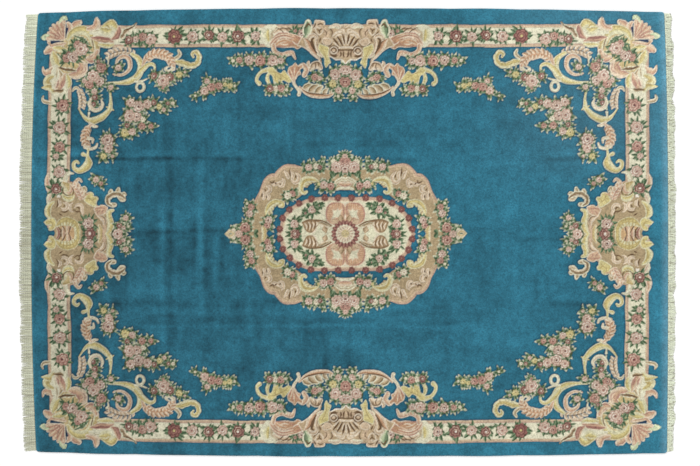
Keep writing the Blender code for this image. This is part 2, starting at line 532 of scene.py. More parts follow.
@dataclass(frozen=True)
class Hole:
    """A stretch inside a frame of ornament where the blue ground shows."""

    points: Points

    def paint(self, chart: Chart) -> None:
        """Brings the ground back inside the outline."""
        path = outline(self.points)
        window = chart.around(path, 2.0)
        chart.lay(window, cover(within(path, window.u, window.v)), Yarn.BLUE.dye, 0.0)


@dataclass(frozen=True)
class Lines:
    """Thin lines that draw folds and ribs over a form.

    Attributes:
        yarn: The wool they are worked in.
        width: Their width in squares.
        paths: What each passes through.
    """

    yarn: Yarn
    width: float
    paths: tuple[Points, ...]

    def paint(self, chart: Chart) -> None:
        """Works each line, thinner towards its two ends."""
        for points in self.paths:
            path = smooth(points)
            window = chart.around(path, 1.5)
            share, off = nearest(path, window.u, window.v)
            half = 0.5 * self.width * (0.45 + 0.55 * np.sin(math.pi * share))
            inside = cover(half - np.abs(off)) * chart.figure[window.rows, window.columns]
            chart.lay(window, inside, self.yarn.dye)


@dataclass(frozen=True)
class Fan:
    """A palmette, shell or rosette: ribs that spread from a point to a scalloped edge.

    Attributes:
        shades: Its wools.
        u: Place of its root along the rug.
        v: Place of its root across it.
        radius: Reach of its longest rib.
        ribs: How many ribs it has.
        facing: Direction of its middle rib, in degrees from +u to +v.
        spread: Angle that it fills, in degrees; 360 for a full rosette.
    """

    shades: Shades
    u: float
    v: float
    radius: float
    ribs: int
    facing: float = 0.0
    spread: float = 360.0

    def paint(self, chart: Chart) -> None:
        """Works the fan: each rib has a lit middle, dark flanks and a rounded end."""
        window = chart.around([(self.u, self.v)], self.radius + 1.0)
        du = window.u - self.u
        dv = window.v - self.v
        reach = np.hypot(du, dv)
        turn = np.degrees(np.arctan2(dv, du)) - self.facing
        turn = (turn + 180.0) % 360.0 - 180.0
        rib = np.abs(np.cos(math.pi * self.ribs * (turn + self.spread / 2) / self.spread - math.pi / 2))
        inside = self.radius * (0.84 + 0.16 * rib**0.6) - reach
        if self.spread < 360.0:
            side = reach * np.sin(np.radians(np.clip(self.spread / 2 - np.abs(turn), -90, 90)))
            inside = np.minimum(inside, side)
        edge, body, lit, dark = self.shades.dyes
        flank = (1.0 - ease(rib, 0.15, 0.55)) * ease(reach, 0.1 * self.radius, 0.3 * self.radius)
        colour = blend(body, lit, 0.8 * ease(rib, 0.75, 1.0))
        colour = blend(colour, dark, 0.85 * flank)
        chart.lay(window, cover(inside), blend(colour, edge, 1.0 - cover(inside - 0.9)))


@dataclass(frozen=True)
class Leaf:
    """A pointed leaf with a dark and a mid green half, and a pale tip where it lies on the blue."""

    u: float
    v: float
    facing: float
    length: float
    width: float
    tipped: bool = True

    def paint(self, chart: Chart) -> None:
        """Works the leaf: its half width is the root of the share along it, times nearly the rest."""
        window = chart.around([(self.u, self.v)], self.length + 1.0)
        c, s = math.cos(self.facing), math.sin(self.facing)
        along = (window.u - self.u) * c + (window.v - self.v) * s
        off = (window.v - self.v) * c - (window.u - self.u) * s
        share = np.clip(along / self.length, 0.0, 1.0)
        half = 2.4 * self.width * share**0.5 * (1.0 - share) ** 0.9
        inside = np.minimum(half - np.abs(off), np.minimum(along, self.length - along) + 0.3)
        colour = blend(Yarn.MOSS.dye, Yarn.SAGE.dye, ease(off, -0.1, 0.4))
        if self.tipped:
            colour = blend(colour, Yarn.CREAM.dye, 0.85 * ease(share, 0.5, 0.85))
        chart.lay(window, cover(inside), colour)


@dataclass(frozen=True)
class Rose:
    """A rose seen from above: lobed petals that wind out from a dark heart."""

    u: float
    v: float
    radius: float
    bloom: Bloom

    def paint(self, chart: Chart) -> None:
        """Works the rose in folds about its heart, lit from a side of its own."""
        window = chart.around([(self.u, self.v)], 1.2 * self.radius + 1.0)
        du = window.u - self.u
        dv = window.v - self.v
        own = 0.7 * self.u + 1.3 * self.v
        turn = np.arctan2(dv, du) + own
        reach = np.hypot(du, dv) / self.radius
        edge = 0.86 + 0.2 * np.abs(np.cos(3.5 * turn)) ** 1.2 + 0.05 * np.cos(3 * turn + own)
        gap, petal, rim, heart = self.bloom.dyes
        # Folds wind outwards in a spiral: dark where one comes from under the next, pale at its rim
        layers = 1.2 + self.radius / 4.4
        fold = (layers * reach / edge + (turn % math.tau) / math.tau) % 1.0
        lit = 0.35 + 0.65 * ease(np.cos(turn - 1.9 * own), -0.5, 0.9)
        colour = blend(gap, petal, ease(fold, 0.02, 0.38))
        colour = blend(colour, rim, 0.95 * lit * ease(fold, 0.45, 0.85) * (1 - ease(fold, 0.93, 1.0)))
        colour = blend(colour, gap, 0.8 * (ease(-np.cos(7 * turn), 0.5, 0.95) * ease(reach / edge, 0.5, 0.8)))
        core = 1.0 - ease(np.hypot(du - 0.06 * self.radius, dv) / self.radius, 0.10, 0.24)
        chart.lay(window, cover((edge - reach) * self.radius), blend(colour, heart, core))


@dataclass(frozen=True)
class Bouquet:
    """Roses with leaves that stand out all round them.

    Attributes:
        leaves: Leaves to each rose.
        roses: A row for each: place along, place across, radius, bloom.
        tipped: Whether the leaves end in pale wool, as they do on the blue ground.
    """

    leaves: int
    roses: tuple[tuple[float, float, float, Bloom], ...]
    tipped: bool = True

    def paint(self, chart: Chart) -> None:
        """Works a shadow and all the leaves first, at seeded uneven angles, and then the roses."""
        chance = np.random.default_rng(round(1000 + self.roses[0][0] * 7 + self.roses[0][1]))
        sprigs = []
        for u, v, radius, _ in self.roses:
            count = round(self.leaves * (0.9 + radius / 8.0))
            turns = (np.arange(count) + chance.uniform(-0.5, 0.5, count)) * math.tau / count
            root = 0.72 * radius
            for turn, length in zip(turns, chance.uniform(3.5, 8.0, count)):
                facing = turn + chance.uniform(-0.45, 0.45)
                foot = (u + root * math.cos(turn), v + root * math.sin(turn))
                width = chance.uniform(1.1, 2.05)
                sprigs.append(Leaf(*foot, facing, length * (0.75 + radius / 18.0), width, self.tipped))
            window = chart.around([(u, v)], radius + 4.0)
            shadow = radius + (1.6 if self.tipped else 0.6) - np.hypot(window.u - u, window.v - v)
            chart.lay(window, cover(shadow), Yarn.BRACKEN.dye)
        for leaf in chance.permutation(np.array(sprigs, object)):
            leaf.paint(chart)
        for row in self.roses:
            Rose(*row).paint(chart)


@dataclass(frozen=True)
class Stripe:
    """A straight stripe, from one corner to the other of a box in squares."""

    yarn: Yarn
    low: tuple[float, float]
    high: tuple[float, float]

    def paint(self, chart: Chart) -> None:
        """Fills the box."""
        window = chart.around([self.low, self.high], 1.0)
        inside = np.minimum.reduce([
            window.u - self.low[0], self.high[0] - window.u,
            window.v - self.low[1], self.high[1] - window.v,
        ])
        chart.lay(window, cover(inside), self.yarn.dye)


Motif = Union[Scroll, Frond, Patch, Hole, Lines, Fan, Leaf, Rose, Bouquet, Stripe]

# Scrolls in each set of wools, as in gold(widths, points, lobes=3)
(
    gold, salmon, rose, blush, tan, fawn, pinkish, khaki, coral, bark, umber, honey, cream, mint,
    leaf, stem, slit, *_
) = (partial(Scroll, shades) for shades in Shades)


def lines(yarn: Yarn, width: float, *paths: Points) -> Lines:
    """Thin lines in one wool."""
    return Lines(yarn, width, paths)


def leaves(tipped: bool, *rows: tuple[float, float, float, float, float]) -> list[Leaf]:
    """Leaves, from rows of place along, place across, facing in radians, length and width."""
    return [Leaf(*row, tipped) for row in rows]


def band() -> list[Motif]:
    """The flowered cream band: two pink stripes with cream between, and a row of roses."""
    yarns = (Yarn.FAWN, Yarn.SHELL, Yarn.CREAM, Yarn.FAWN, Yarn.SHELL)
    across = (187.0, 188.9, 190.2, 206.3, 208.3, 209.4)
    along = (278.0, 279.9, 281.3, 298.0, 299.6, 301.2)
    motifs: list[Motif] = [
        Stripe(yarn, (-9.0, low), (285.0, high)) for yarn, low, high in zip(yarns, across, across[1:])
    ]
    motifs += [Stripe(yarn, (low, -9.0), (high, 190.0)) for yarn, low, high in zip(yarns, along, along[1:])]
    roses = (
        (92, 198, 5, Bloom.PINK), (109.5, 198, 6.2, Bloom.WINE), (125.5, 197, 5.2, Bloom.BLUSH),
        (139.5, 198.8, 5.2, Bloom.WINE), (156, 197.6, 5.6, Bloom.BLUSH), (174.5, 197.8, 7.2, Bloom.EYED),
        (198.5, 194.6, 5.8, Bloom.BLUSH), (207, 197.4, 4.4, Bloom.ROSE), (214.5, 195, 3.6, Bloom.PINK),
        (221, 194.5, 4.6, Bloom.WINE), (286.5, 128.5, 6.4, Bloom.ROSE), (289, 106.6, 6.2, Bloom.BLUSH),
        (289, 87.4, 5.4, Bloom.ROSE), (292.5, 78, 3.2, Bloom.BLUSH), (288.6, 62.4, 6, Bloom.BLUSH),
        (291, 44.5, 5.4, Bloom.WINE),
    )
    return [*motifs, Bouquet(7, roses, tipped=False)]


def corner() -> list[Motif]:
    """The corner cartouche over the band: palmette, gold scroll, roses and the leaves either way."""
    return [
        Patch(Shades.HONEY, (284, 200, 272, 203, 261, 201, 255.5, 194, 251, 187, 251, 180, 256, 174,
            262, 171, 263, 164, 268, 158, 279, 157, 286, 160, 294, 168, 297, 180, 294, 191)),
        # Pale pink lobes outside the palmette
        salmon((2.2, 4, 4.6, 3), (281, 202, 278.5, 207, 275, 210.5, 272.5, 212.3)),
        salmon((2.5, 4, 4.3, 2.8), (289, 189, 297, 187.5, 303, 185, 306, 183.4)),
        salmon((1.2, 2.5, 2.8, 1.8), (285.5, 191.5, 293, 190.2, 299, 190.3, 303, 193)),
        salmon((1.2, 2.4, 2.8, 1.8), (283.2, 196, 281.8, 203, 281.6, 208.5, 284, 212)),
        Fan(Shades.SALMON, 285.5, 194.5, 21.5, 6, 44, 90),
        lines(Yarn.ROSE, 1, spiral(294, 198.3, 3.6, 30, 1.3), (288, 196, 293, 203, 295, 211), (290, 195,
            297, 201, 303, 202), (287, 197, 288, 204, 287, 211)),
        slit((0.3, 0.7, 1.4), (285.2, 197, 285, 201, 284.5, 206)),
        slit((0.3, 0.7, 1.4), (287, 193.6, 293, 193.2, 299.3, 192.3)),
        # Mint curls that stand out into the blue rim
        mint((0.9, 1.8, 2.2, 1.4), (292, 212.5, 290.5, 216, 287.5, 218.2, 285.8, 216.3)),
        mint((0.9, 1.7, 2.1, 1.4), (302.5, 199.5, 307, 199.7, 310.2, 197.8, 308, 196.2)),
        # Gold scrolls
        gold((2, 3.6, 4.6, 4.8, 4.2, 3, 2), (282.5, 196, 280, 201, 274.5, 204, 268, 204.7, 262.5, 202,
            259.3, 196.5, 257.5, 190)),
        honey((0.9, 3.4, 3.6, 1.2), (260, 197, 255.8, 193, 253.6, 187, 253.5, 181), lobes=3, bite=0.15),
        lines(Yarn.UMBER, 1, (259.5, 197, 257.6, 191, 256.3, 185), (263, 187, 260, 182, 259.5, 177)),
        gold((1.2, 4.4, 4.4, 1.6), (297.6, 183.5, 296.7, 178, 294.5, 172.5, 290.5, 169)),
        gold((1.8, 3.6, 2.8, 1.2), (296.5, 187, 291.5, 186, 286, 184.5, 282, 183)),
        gold((1, 2.6, 1.2), (281.5, 193, 280, 189, 278.5, 184.5)),
        # Round lobes below and beside the roses
        salmon((2, 4.8, 6, 5.2, 2), (281, 159.5, 273, 160, 268, 164, 267.5, 169.5, 271, 173)),
        lines(Yarn.ROSE, 0.9, (279, 162, 272, 164, 270, 169), (264.5, 170, 264.5, 164, 269, 160.5),
            (269, 168.5, 267, 166, 269, 164)),
        salmon((2.4, 4, 4.4, 2.6), (253.5, 183, 254.8, 178, 258.5, 175.5, 262.5, 176)),
        lines(Yarn.ROSE, 0.9, (252.5, 179, 256, 174.5, 260.5, 173.5), (256.5, 180.5, 258.5, 178,
            261, 178.5)),
        tan((1, 2.2, 2.4, 1.2), (290, 167.5, 285, 165.5, 279, 165, 274, 164), lobes=4),
        lines(Yarn.UMBER, 1.6, (291, 167, 284, 164.6, 275, 164), (289, 164, 288, 159, 290, 155)),
        leaf((0.8, 3.2, 3.2, 1), (276, 199, 270.5, 196.5, 265.5, 193.5, 261.5, 190), lobes=5, bite=0.6),
        leaf((0.8, 2.4, 0.8), (262.5, 184.5, 260, 182, 257.5, 182), lobes=3, bite=0.5),
        leaf((0.8, 2.2, 0.8), (293, 181, 289.5, 177, 286.5, 171), lobes=4, bite=0.5),
        Bouquet(8, ((284, 176.5, 4.2, Bloom.ROSE), (273, 190.5, 3.9, Bloom.ROSE),
            (281.5, 181, 2.6, Bloom.WINE), (277.3, 178, 5.4, Bloom.PINK), (268.8, 185.6, 6.6, Bloom.BLUSH)),
            tipped=False),
        # Down the short side
        salmon((1.8, 4.2, 3.6, 2.2, 1), (298.5, 166.5, 300.5, 163, 304.5, 162, 307.5, 163.5, 308.8, 167.3)),
        cream((2, 3.8, 3.6, 1.8), (294.5, 168, 295, 163.5, 295.5, 158.5, 298, 153)),
        tan((1.4, 2.6, 2), (290.5, 164, 288.5, 159, 290, 154.5)),
        gold((2.2, 4.2, 4.6, 2.8), (297, 158.3, 302, 156, 303.4, 152.2, 299.5, 149.6), lobes=2, bite=0.15),
        gold((0.7, 2.6, 4, 2.2), (309, 147, 304.5, 147.2, 299.5, 147, 296.5, 143)),
        lines(Yarn.OCHRE, 1.8, (303.5, 154.5, 302, 152.5, 300.8, 151), (303, 148, 300, 148.5, 298, 147)),
        cream((1, 2.6, 1.4), (294.5, 158, 295.6, 152, 296.3, 146.5)),
        salmon((1.8, 3.8, 4.8, 4), (285, 160, 286.5, 155, 289, 150.5, 291, 146.5)),
        lines(Yarn.ROSE, 1.6, (286, 154, 288, 150, 288, 147), (291, 154, 291.5, 150, 293, 147)),
        umber((0.8, 1.5, 1.7, 1), (296, 143.4, 292, 143.6, 288.5, 143.2, 286, 144.5), rim=0.3),
        cream((1.2, 2.4, 1.4), (283.6, 148, 283.2, 144.5, 283.6, 141.5)),
        gold((1.8, 3, 3, 1.6), (282.5, 159, 281, 155, 280.5, 150.5, 281, 147)),
        tan((1.6, 2, 2, 1.6, 0.9), (299, 131.5, 303, 132.4, 306.3, 133.3, 308, 135.6, 307.3, 138.5)),
        # Along the long side
        salmon((2.2, 3.4, 3.6, 3.4, 2.2), (263, 205.5, 257.5, 206.5, 254.5, 209.5, 254.3, 213, 254.6, 215)),
        cream((1.6, 2.8, 2.4), (260.5, 201.5, 254.5, 202.3, 248, 203)),
        gold((1.8, 3.2, 5, 3.8), (249, 206.5, 244.5, 209, 239.3, 210.5, 236.3, 208)),
        gold((2.4, 4.2, 4, 2.2), (249.3, 205, 245.5, 203.5, 242.5, 203, 240, 204.5)),
        lines(Yarn.OCHRE, 1.6, (245.5, 209.5, 243, 208.8, 241, 206.5)),
        rose((1.4, 3, 3.4, 3, 1.4), (259, 196.5, 253.5, 195.8, 248, 195, 242.5, 194.6, 237, 192.8)),
        lines(Yarn.WINE, 0.8, (256, 197, 249, 195.6, 242, 195), (254, 193.5, 247, 192.6, 242, 192.6)),
        rose((2.2, 3.8, 3.6, 1.4), (231.5, 207, 232, 202, 234, 198, 238.5, 195.2)),
        lines(Yarn.WINE, 0.8, (232.5, 206, 233.5, 201, 237, 196.5)),
        gold((1.2, 2.4, 2.6, 1), (251.5, 189.5, 246.5, 189, 241, 188.6, 236.5, 190)),
        tan((2.8, 3.2, 2.6, 1.8, 0.8), (228, 198, 225, 203, 220.5, 205.8, 216.8, 208.2, 214.3, 211.5),
            lobes=3, bite=0.35),
        lines(Yarn.UMBER, 1.2, (227, 204.6, 221, 206, 216, 209)),
    ]


def corner_sprays() -> list[Motif]:
    """The scrolls and rose sprays that fill the corner of the blue field."""
    return [
        # The C-scroll with a spiral and a rose inside
        Frond(Shades.FAWN, (214, 180, 220, 183, 228, 184, 236, 182, 242.5, 178.5), (3.4, 4.6, 5, 5.4, 4.2),
            7, 0, 46, 0.38, 0.5),
        lines(Yarn.UMBER, 1, (217, 182, 225, 184, 234, 182.5, 240, 179.5)),
        cream((1.2, 1, 0.7), (243, 177, 241, 174.5, 241.5, 171)),
        salmon((1, 1.8, 2.3, 2.5, 2.2, 1.9, 1.5, 1), (233.5, 170, 231.5, 175.5, 226, 178.3, 221, 176,
            219.3, 169, 222, 163, 228, 159.5, 235.5, 160.5)),
        gold((2, 3, 3.6, 3.8, 3.2, 1.8, 0.8), (217.5, 180.5, 210.5, 175, 208.3, 166, 212, 158, 220, 153,
            230, 151.5, 241, 152)),
        Bouquet(6, ((231, 167, 3.2, Bloom.BLUSH),)),
        gold((3, 3.2, 2.3, 1.7, 0.8), (213, 158, 207, 165, 200.5, 170, 195, 169, 193.4, 164)),
        # The ribbon loop
        cream((1.3, 1.1, 0.8), (213.5, 153, 207, 153.6, 202, 155.5)),
        cream((1.3, 1.6, 1.3), ring(208.5, 147.4, 3.9, 4.5), rim=0.5),
        # The pink and the gold acanthus that follow the band
        tan((1.4, 2, 2, 1.3), (176, 175, 171.5, 177, 168.8, 180.5, 170.3, 184)),
        gold((1.8, 3.6, 3.4, 3, 2.9, 2.4, 2, 1.3), (176, 173, 167, 171.8, 158.5, 169, 151.5, 171,
            149.3, 177.5, 152.5, 182.3, 156.2, 180.5, 155, 177.5), lobes=9, bite=0.22),
        salmon((1.2, 3, 3.6, 3.6, 3.4, 2.8, 2), (207, 169.5, 203, 176.5, 196, 180.5, 187, 180.3, 180, 177.5,
            176, 171.5, 175, 165.5)),
        Frond(Shades.CORAL, (204, 174, 196, 180, 187, 179.8, 180, 177, 176, 170), (4.6, 5.6, 6, 5.6, 4.4),
            9, 0, 50, 0.34, 0.4),
        lines(Yarn.CORAL, 1.2, (206, 170, 202, 176, 195, 179.6, 187, 179.4, 180, 176.6, 176, 171)),
        blush((1.8, 1.7, 1.5, 1.1), (175.5, 166, 179, 163, 182.8, 165, 180.5, 167.6)),
        Bouquet(7, ((194.5, 158.2, 3.6, Bloom.WINE), (178, 157, 4.2, Bloom.WINE),
            (169, 160, 3.2, Bloom.GOLD), (163.5, 162.5, 1.4, Bloom.BLUSH), (184.8, 153.2, 6.4, Bloom.BLUSH),
            (185, 145.8, 1.5, Bloom.ROSE))),
        # The bouquet at the corner and its hanging tail
        Bouquet(6, ((251, 173.2, 2, Bloom.WINE), (264.8, 154, 2.6, Bloom.BLUSH),
            (254.5, 143.5, 3, Bloom.BLUSH), (254, 137.5, 3.2, Bloom.WINE), (255.5, 130.5, 2.8, Bloom.WINE),
            (248, 167, 5, Bloom.ROSE), (259.8, 150.2, 4.6, Bloom.ROSE), (249, 153.2, 4.6, Bloom.PINK),
            (256, 158.6, 6.2, Bloom.BLUSH))),
        Bouquet(7, ((238, 147, 2.8, Bloom.BLUSH),)),
        blush((1, 1.8, 2.1, 2, 1.7, 1), (258, 136, 259.5, 130.5, 255.5, 125, 249.5, 125, 246, 130,
            247.5, 134.5)),
        # The gold crescent under it, and the tan leaf towards the band
        gold((1, 1.4, 2.6), (238.4, 141, 237.6, 134, 238, 125.5)),
        gold((0.6, 1.6, 0.6), (234.6, 124, 238, 126, 242, 127.5)),
        gold((1.6, 2.6, 3.4, 3.8, 2.4, 1.2, 0.7), (237.5, 127.5, 240, 123.5, 246, 117.6, 254, 114, 261, 115,
            266, 119.5, 270, 125.5)),
        cream((0.8, 1.3), (260, 117, 259.5, 121.5)),
        blush((1.4, 1.9, 1.2), (258.5, 111.5, 254.5, 108.6, 251, 108)),
        tan((1, 1.6, 1.6, 1), (277, 143.6, 274.6, 146.4, 271.6, 146.4, 269, 143)),
        Frond(Shades.FAWN, (270.5, 146, 268, 140, 266.6, 133, 267.2, 126), (3.4, 4.4, 4.6, 3.6), 6, 0, 46,
            0.38, 0.5),
        lines(Yarn.UMBER, 1, (270, 144, 267.6, 138, 266.6, 131, 267.6, 127)),
        # The pink leaf and the gold curl down the short side
        salmon((1.2, 2.8, 3.4, 3, 1.6), (257, 110, 261, 105, 263.3, 97.5, 262.5, 90, 259, 85)),
        Frond(Shades.CORAL, (258.5, 108, 262, 102, 263, 95, 261, 88), (4.2, 5.6, 5.6, 4), 6, 0, 48, 0.36,
            0.4),
        lines(Yarn.CORAL, 1.2, (258, 109, 262, 102, 262.8, 94, 260.6, 88)),
        blush((1.8, 1.6, 1.5, 1), (262, 87, 257, 85.5, 252, 87, 250.5, 90.5)),
        blush((1.6, 1.6, 1), (259.5, 96, 255.5, 95, 255.2, 91.3)),
        gold((1.2, 2.1), (260, 78, 265, 80)),
        gold((0.9, 1.6, 4.2, 4.4, 3, 2.2, 2, 1.7, 1.2), (259.5, 85, 260, 78, 259.5, 72, 262, 67.5,
            268, 63.5, 273, 65.5, 274.3, 70.5, 271.5, 73, 269.2, 71.5)),
        Bouquet(7, ((252, 54.5, 3.2, Bloom.BLUSH), (246.8, 50.5, 2.2, Bloom.ROSE))),
        # The bouquet below, and the L-shaped one
        stem((0.8, 0.6, 0.8), (223, 108, 229, 102, 236, 98), rim=0.3),
        Bouquet(8, ((235.5, 78, 1.8, Bloom.BLUSH), (244.5, 78, 3, Bloom.GOLD),
            (239.5, 85.8, 4.6, Bloom.BLUSH), (240.2, 94.2, 6.2, Bloom.PINK))),
        Bouquet(6, ((174.8, 130.6, 1.9, Bloom.CREAM), (179.5, 130.5, 2, Bloom.WINE),
            (183.5, 124.5, 2.2, Bloom.BLUSH), (188.5, 127.5, 2.8, Bloom.GOLD),
            (194, 131.5, 2.8, Bloom.WINE), (217.8, 131.6, 4.4, Bloom.BLUSH), (196.8, 108, 2.8, Bloom.ROSE),
            (206, 108.2, 3.8, Bloom.ROSE), (221, 109, 2.6, Bloom.WINE), (223, 101.5, 4, Bloom.GOLD),
            (216, 102.5, 3.6, Bloom.BLUSH), (205, 115, 2.8, Bloom.CREAM), (201, 130, 4.6, Bloom.BLUSH),
            (211.2, 117.8, 5, Bloom.PINK), (209.6, 128, 5.6, Bloom.PINK),
            (218.2, 118.6, 6.2, Bloom.BLUSH))),
        # The lone spray beyond the scrolls
        Bouquet(6, ((152.5, 138.5, 1.3, Bloom.CREAM), (112.5, 147.8, 1.3, Bloom.CREAM),
            (117.5, 148, 2.9, Bloom.GOLD), (122.5, 149.5, 2.2, Bloom.GOLD),
            (140.5, 153.2, 2.9, Bloom.BLUSH), (143, 143.2, 4.2, Bloom.BLUSH), (128.5, 148, 3.8, Bloom.ROSE),
            (136, 146.8, 4.4, Bloom.ROSE))),
    ]


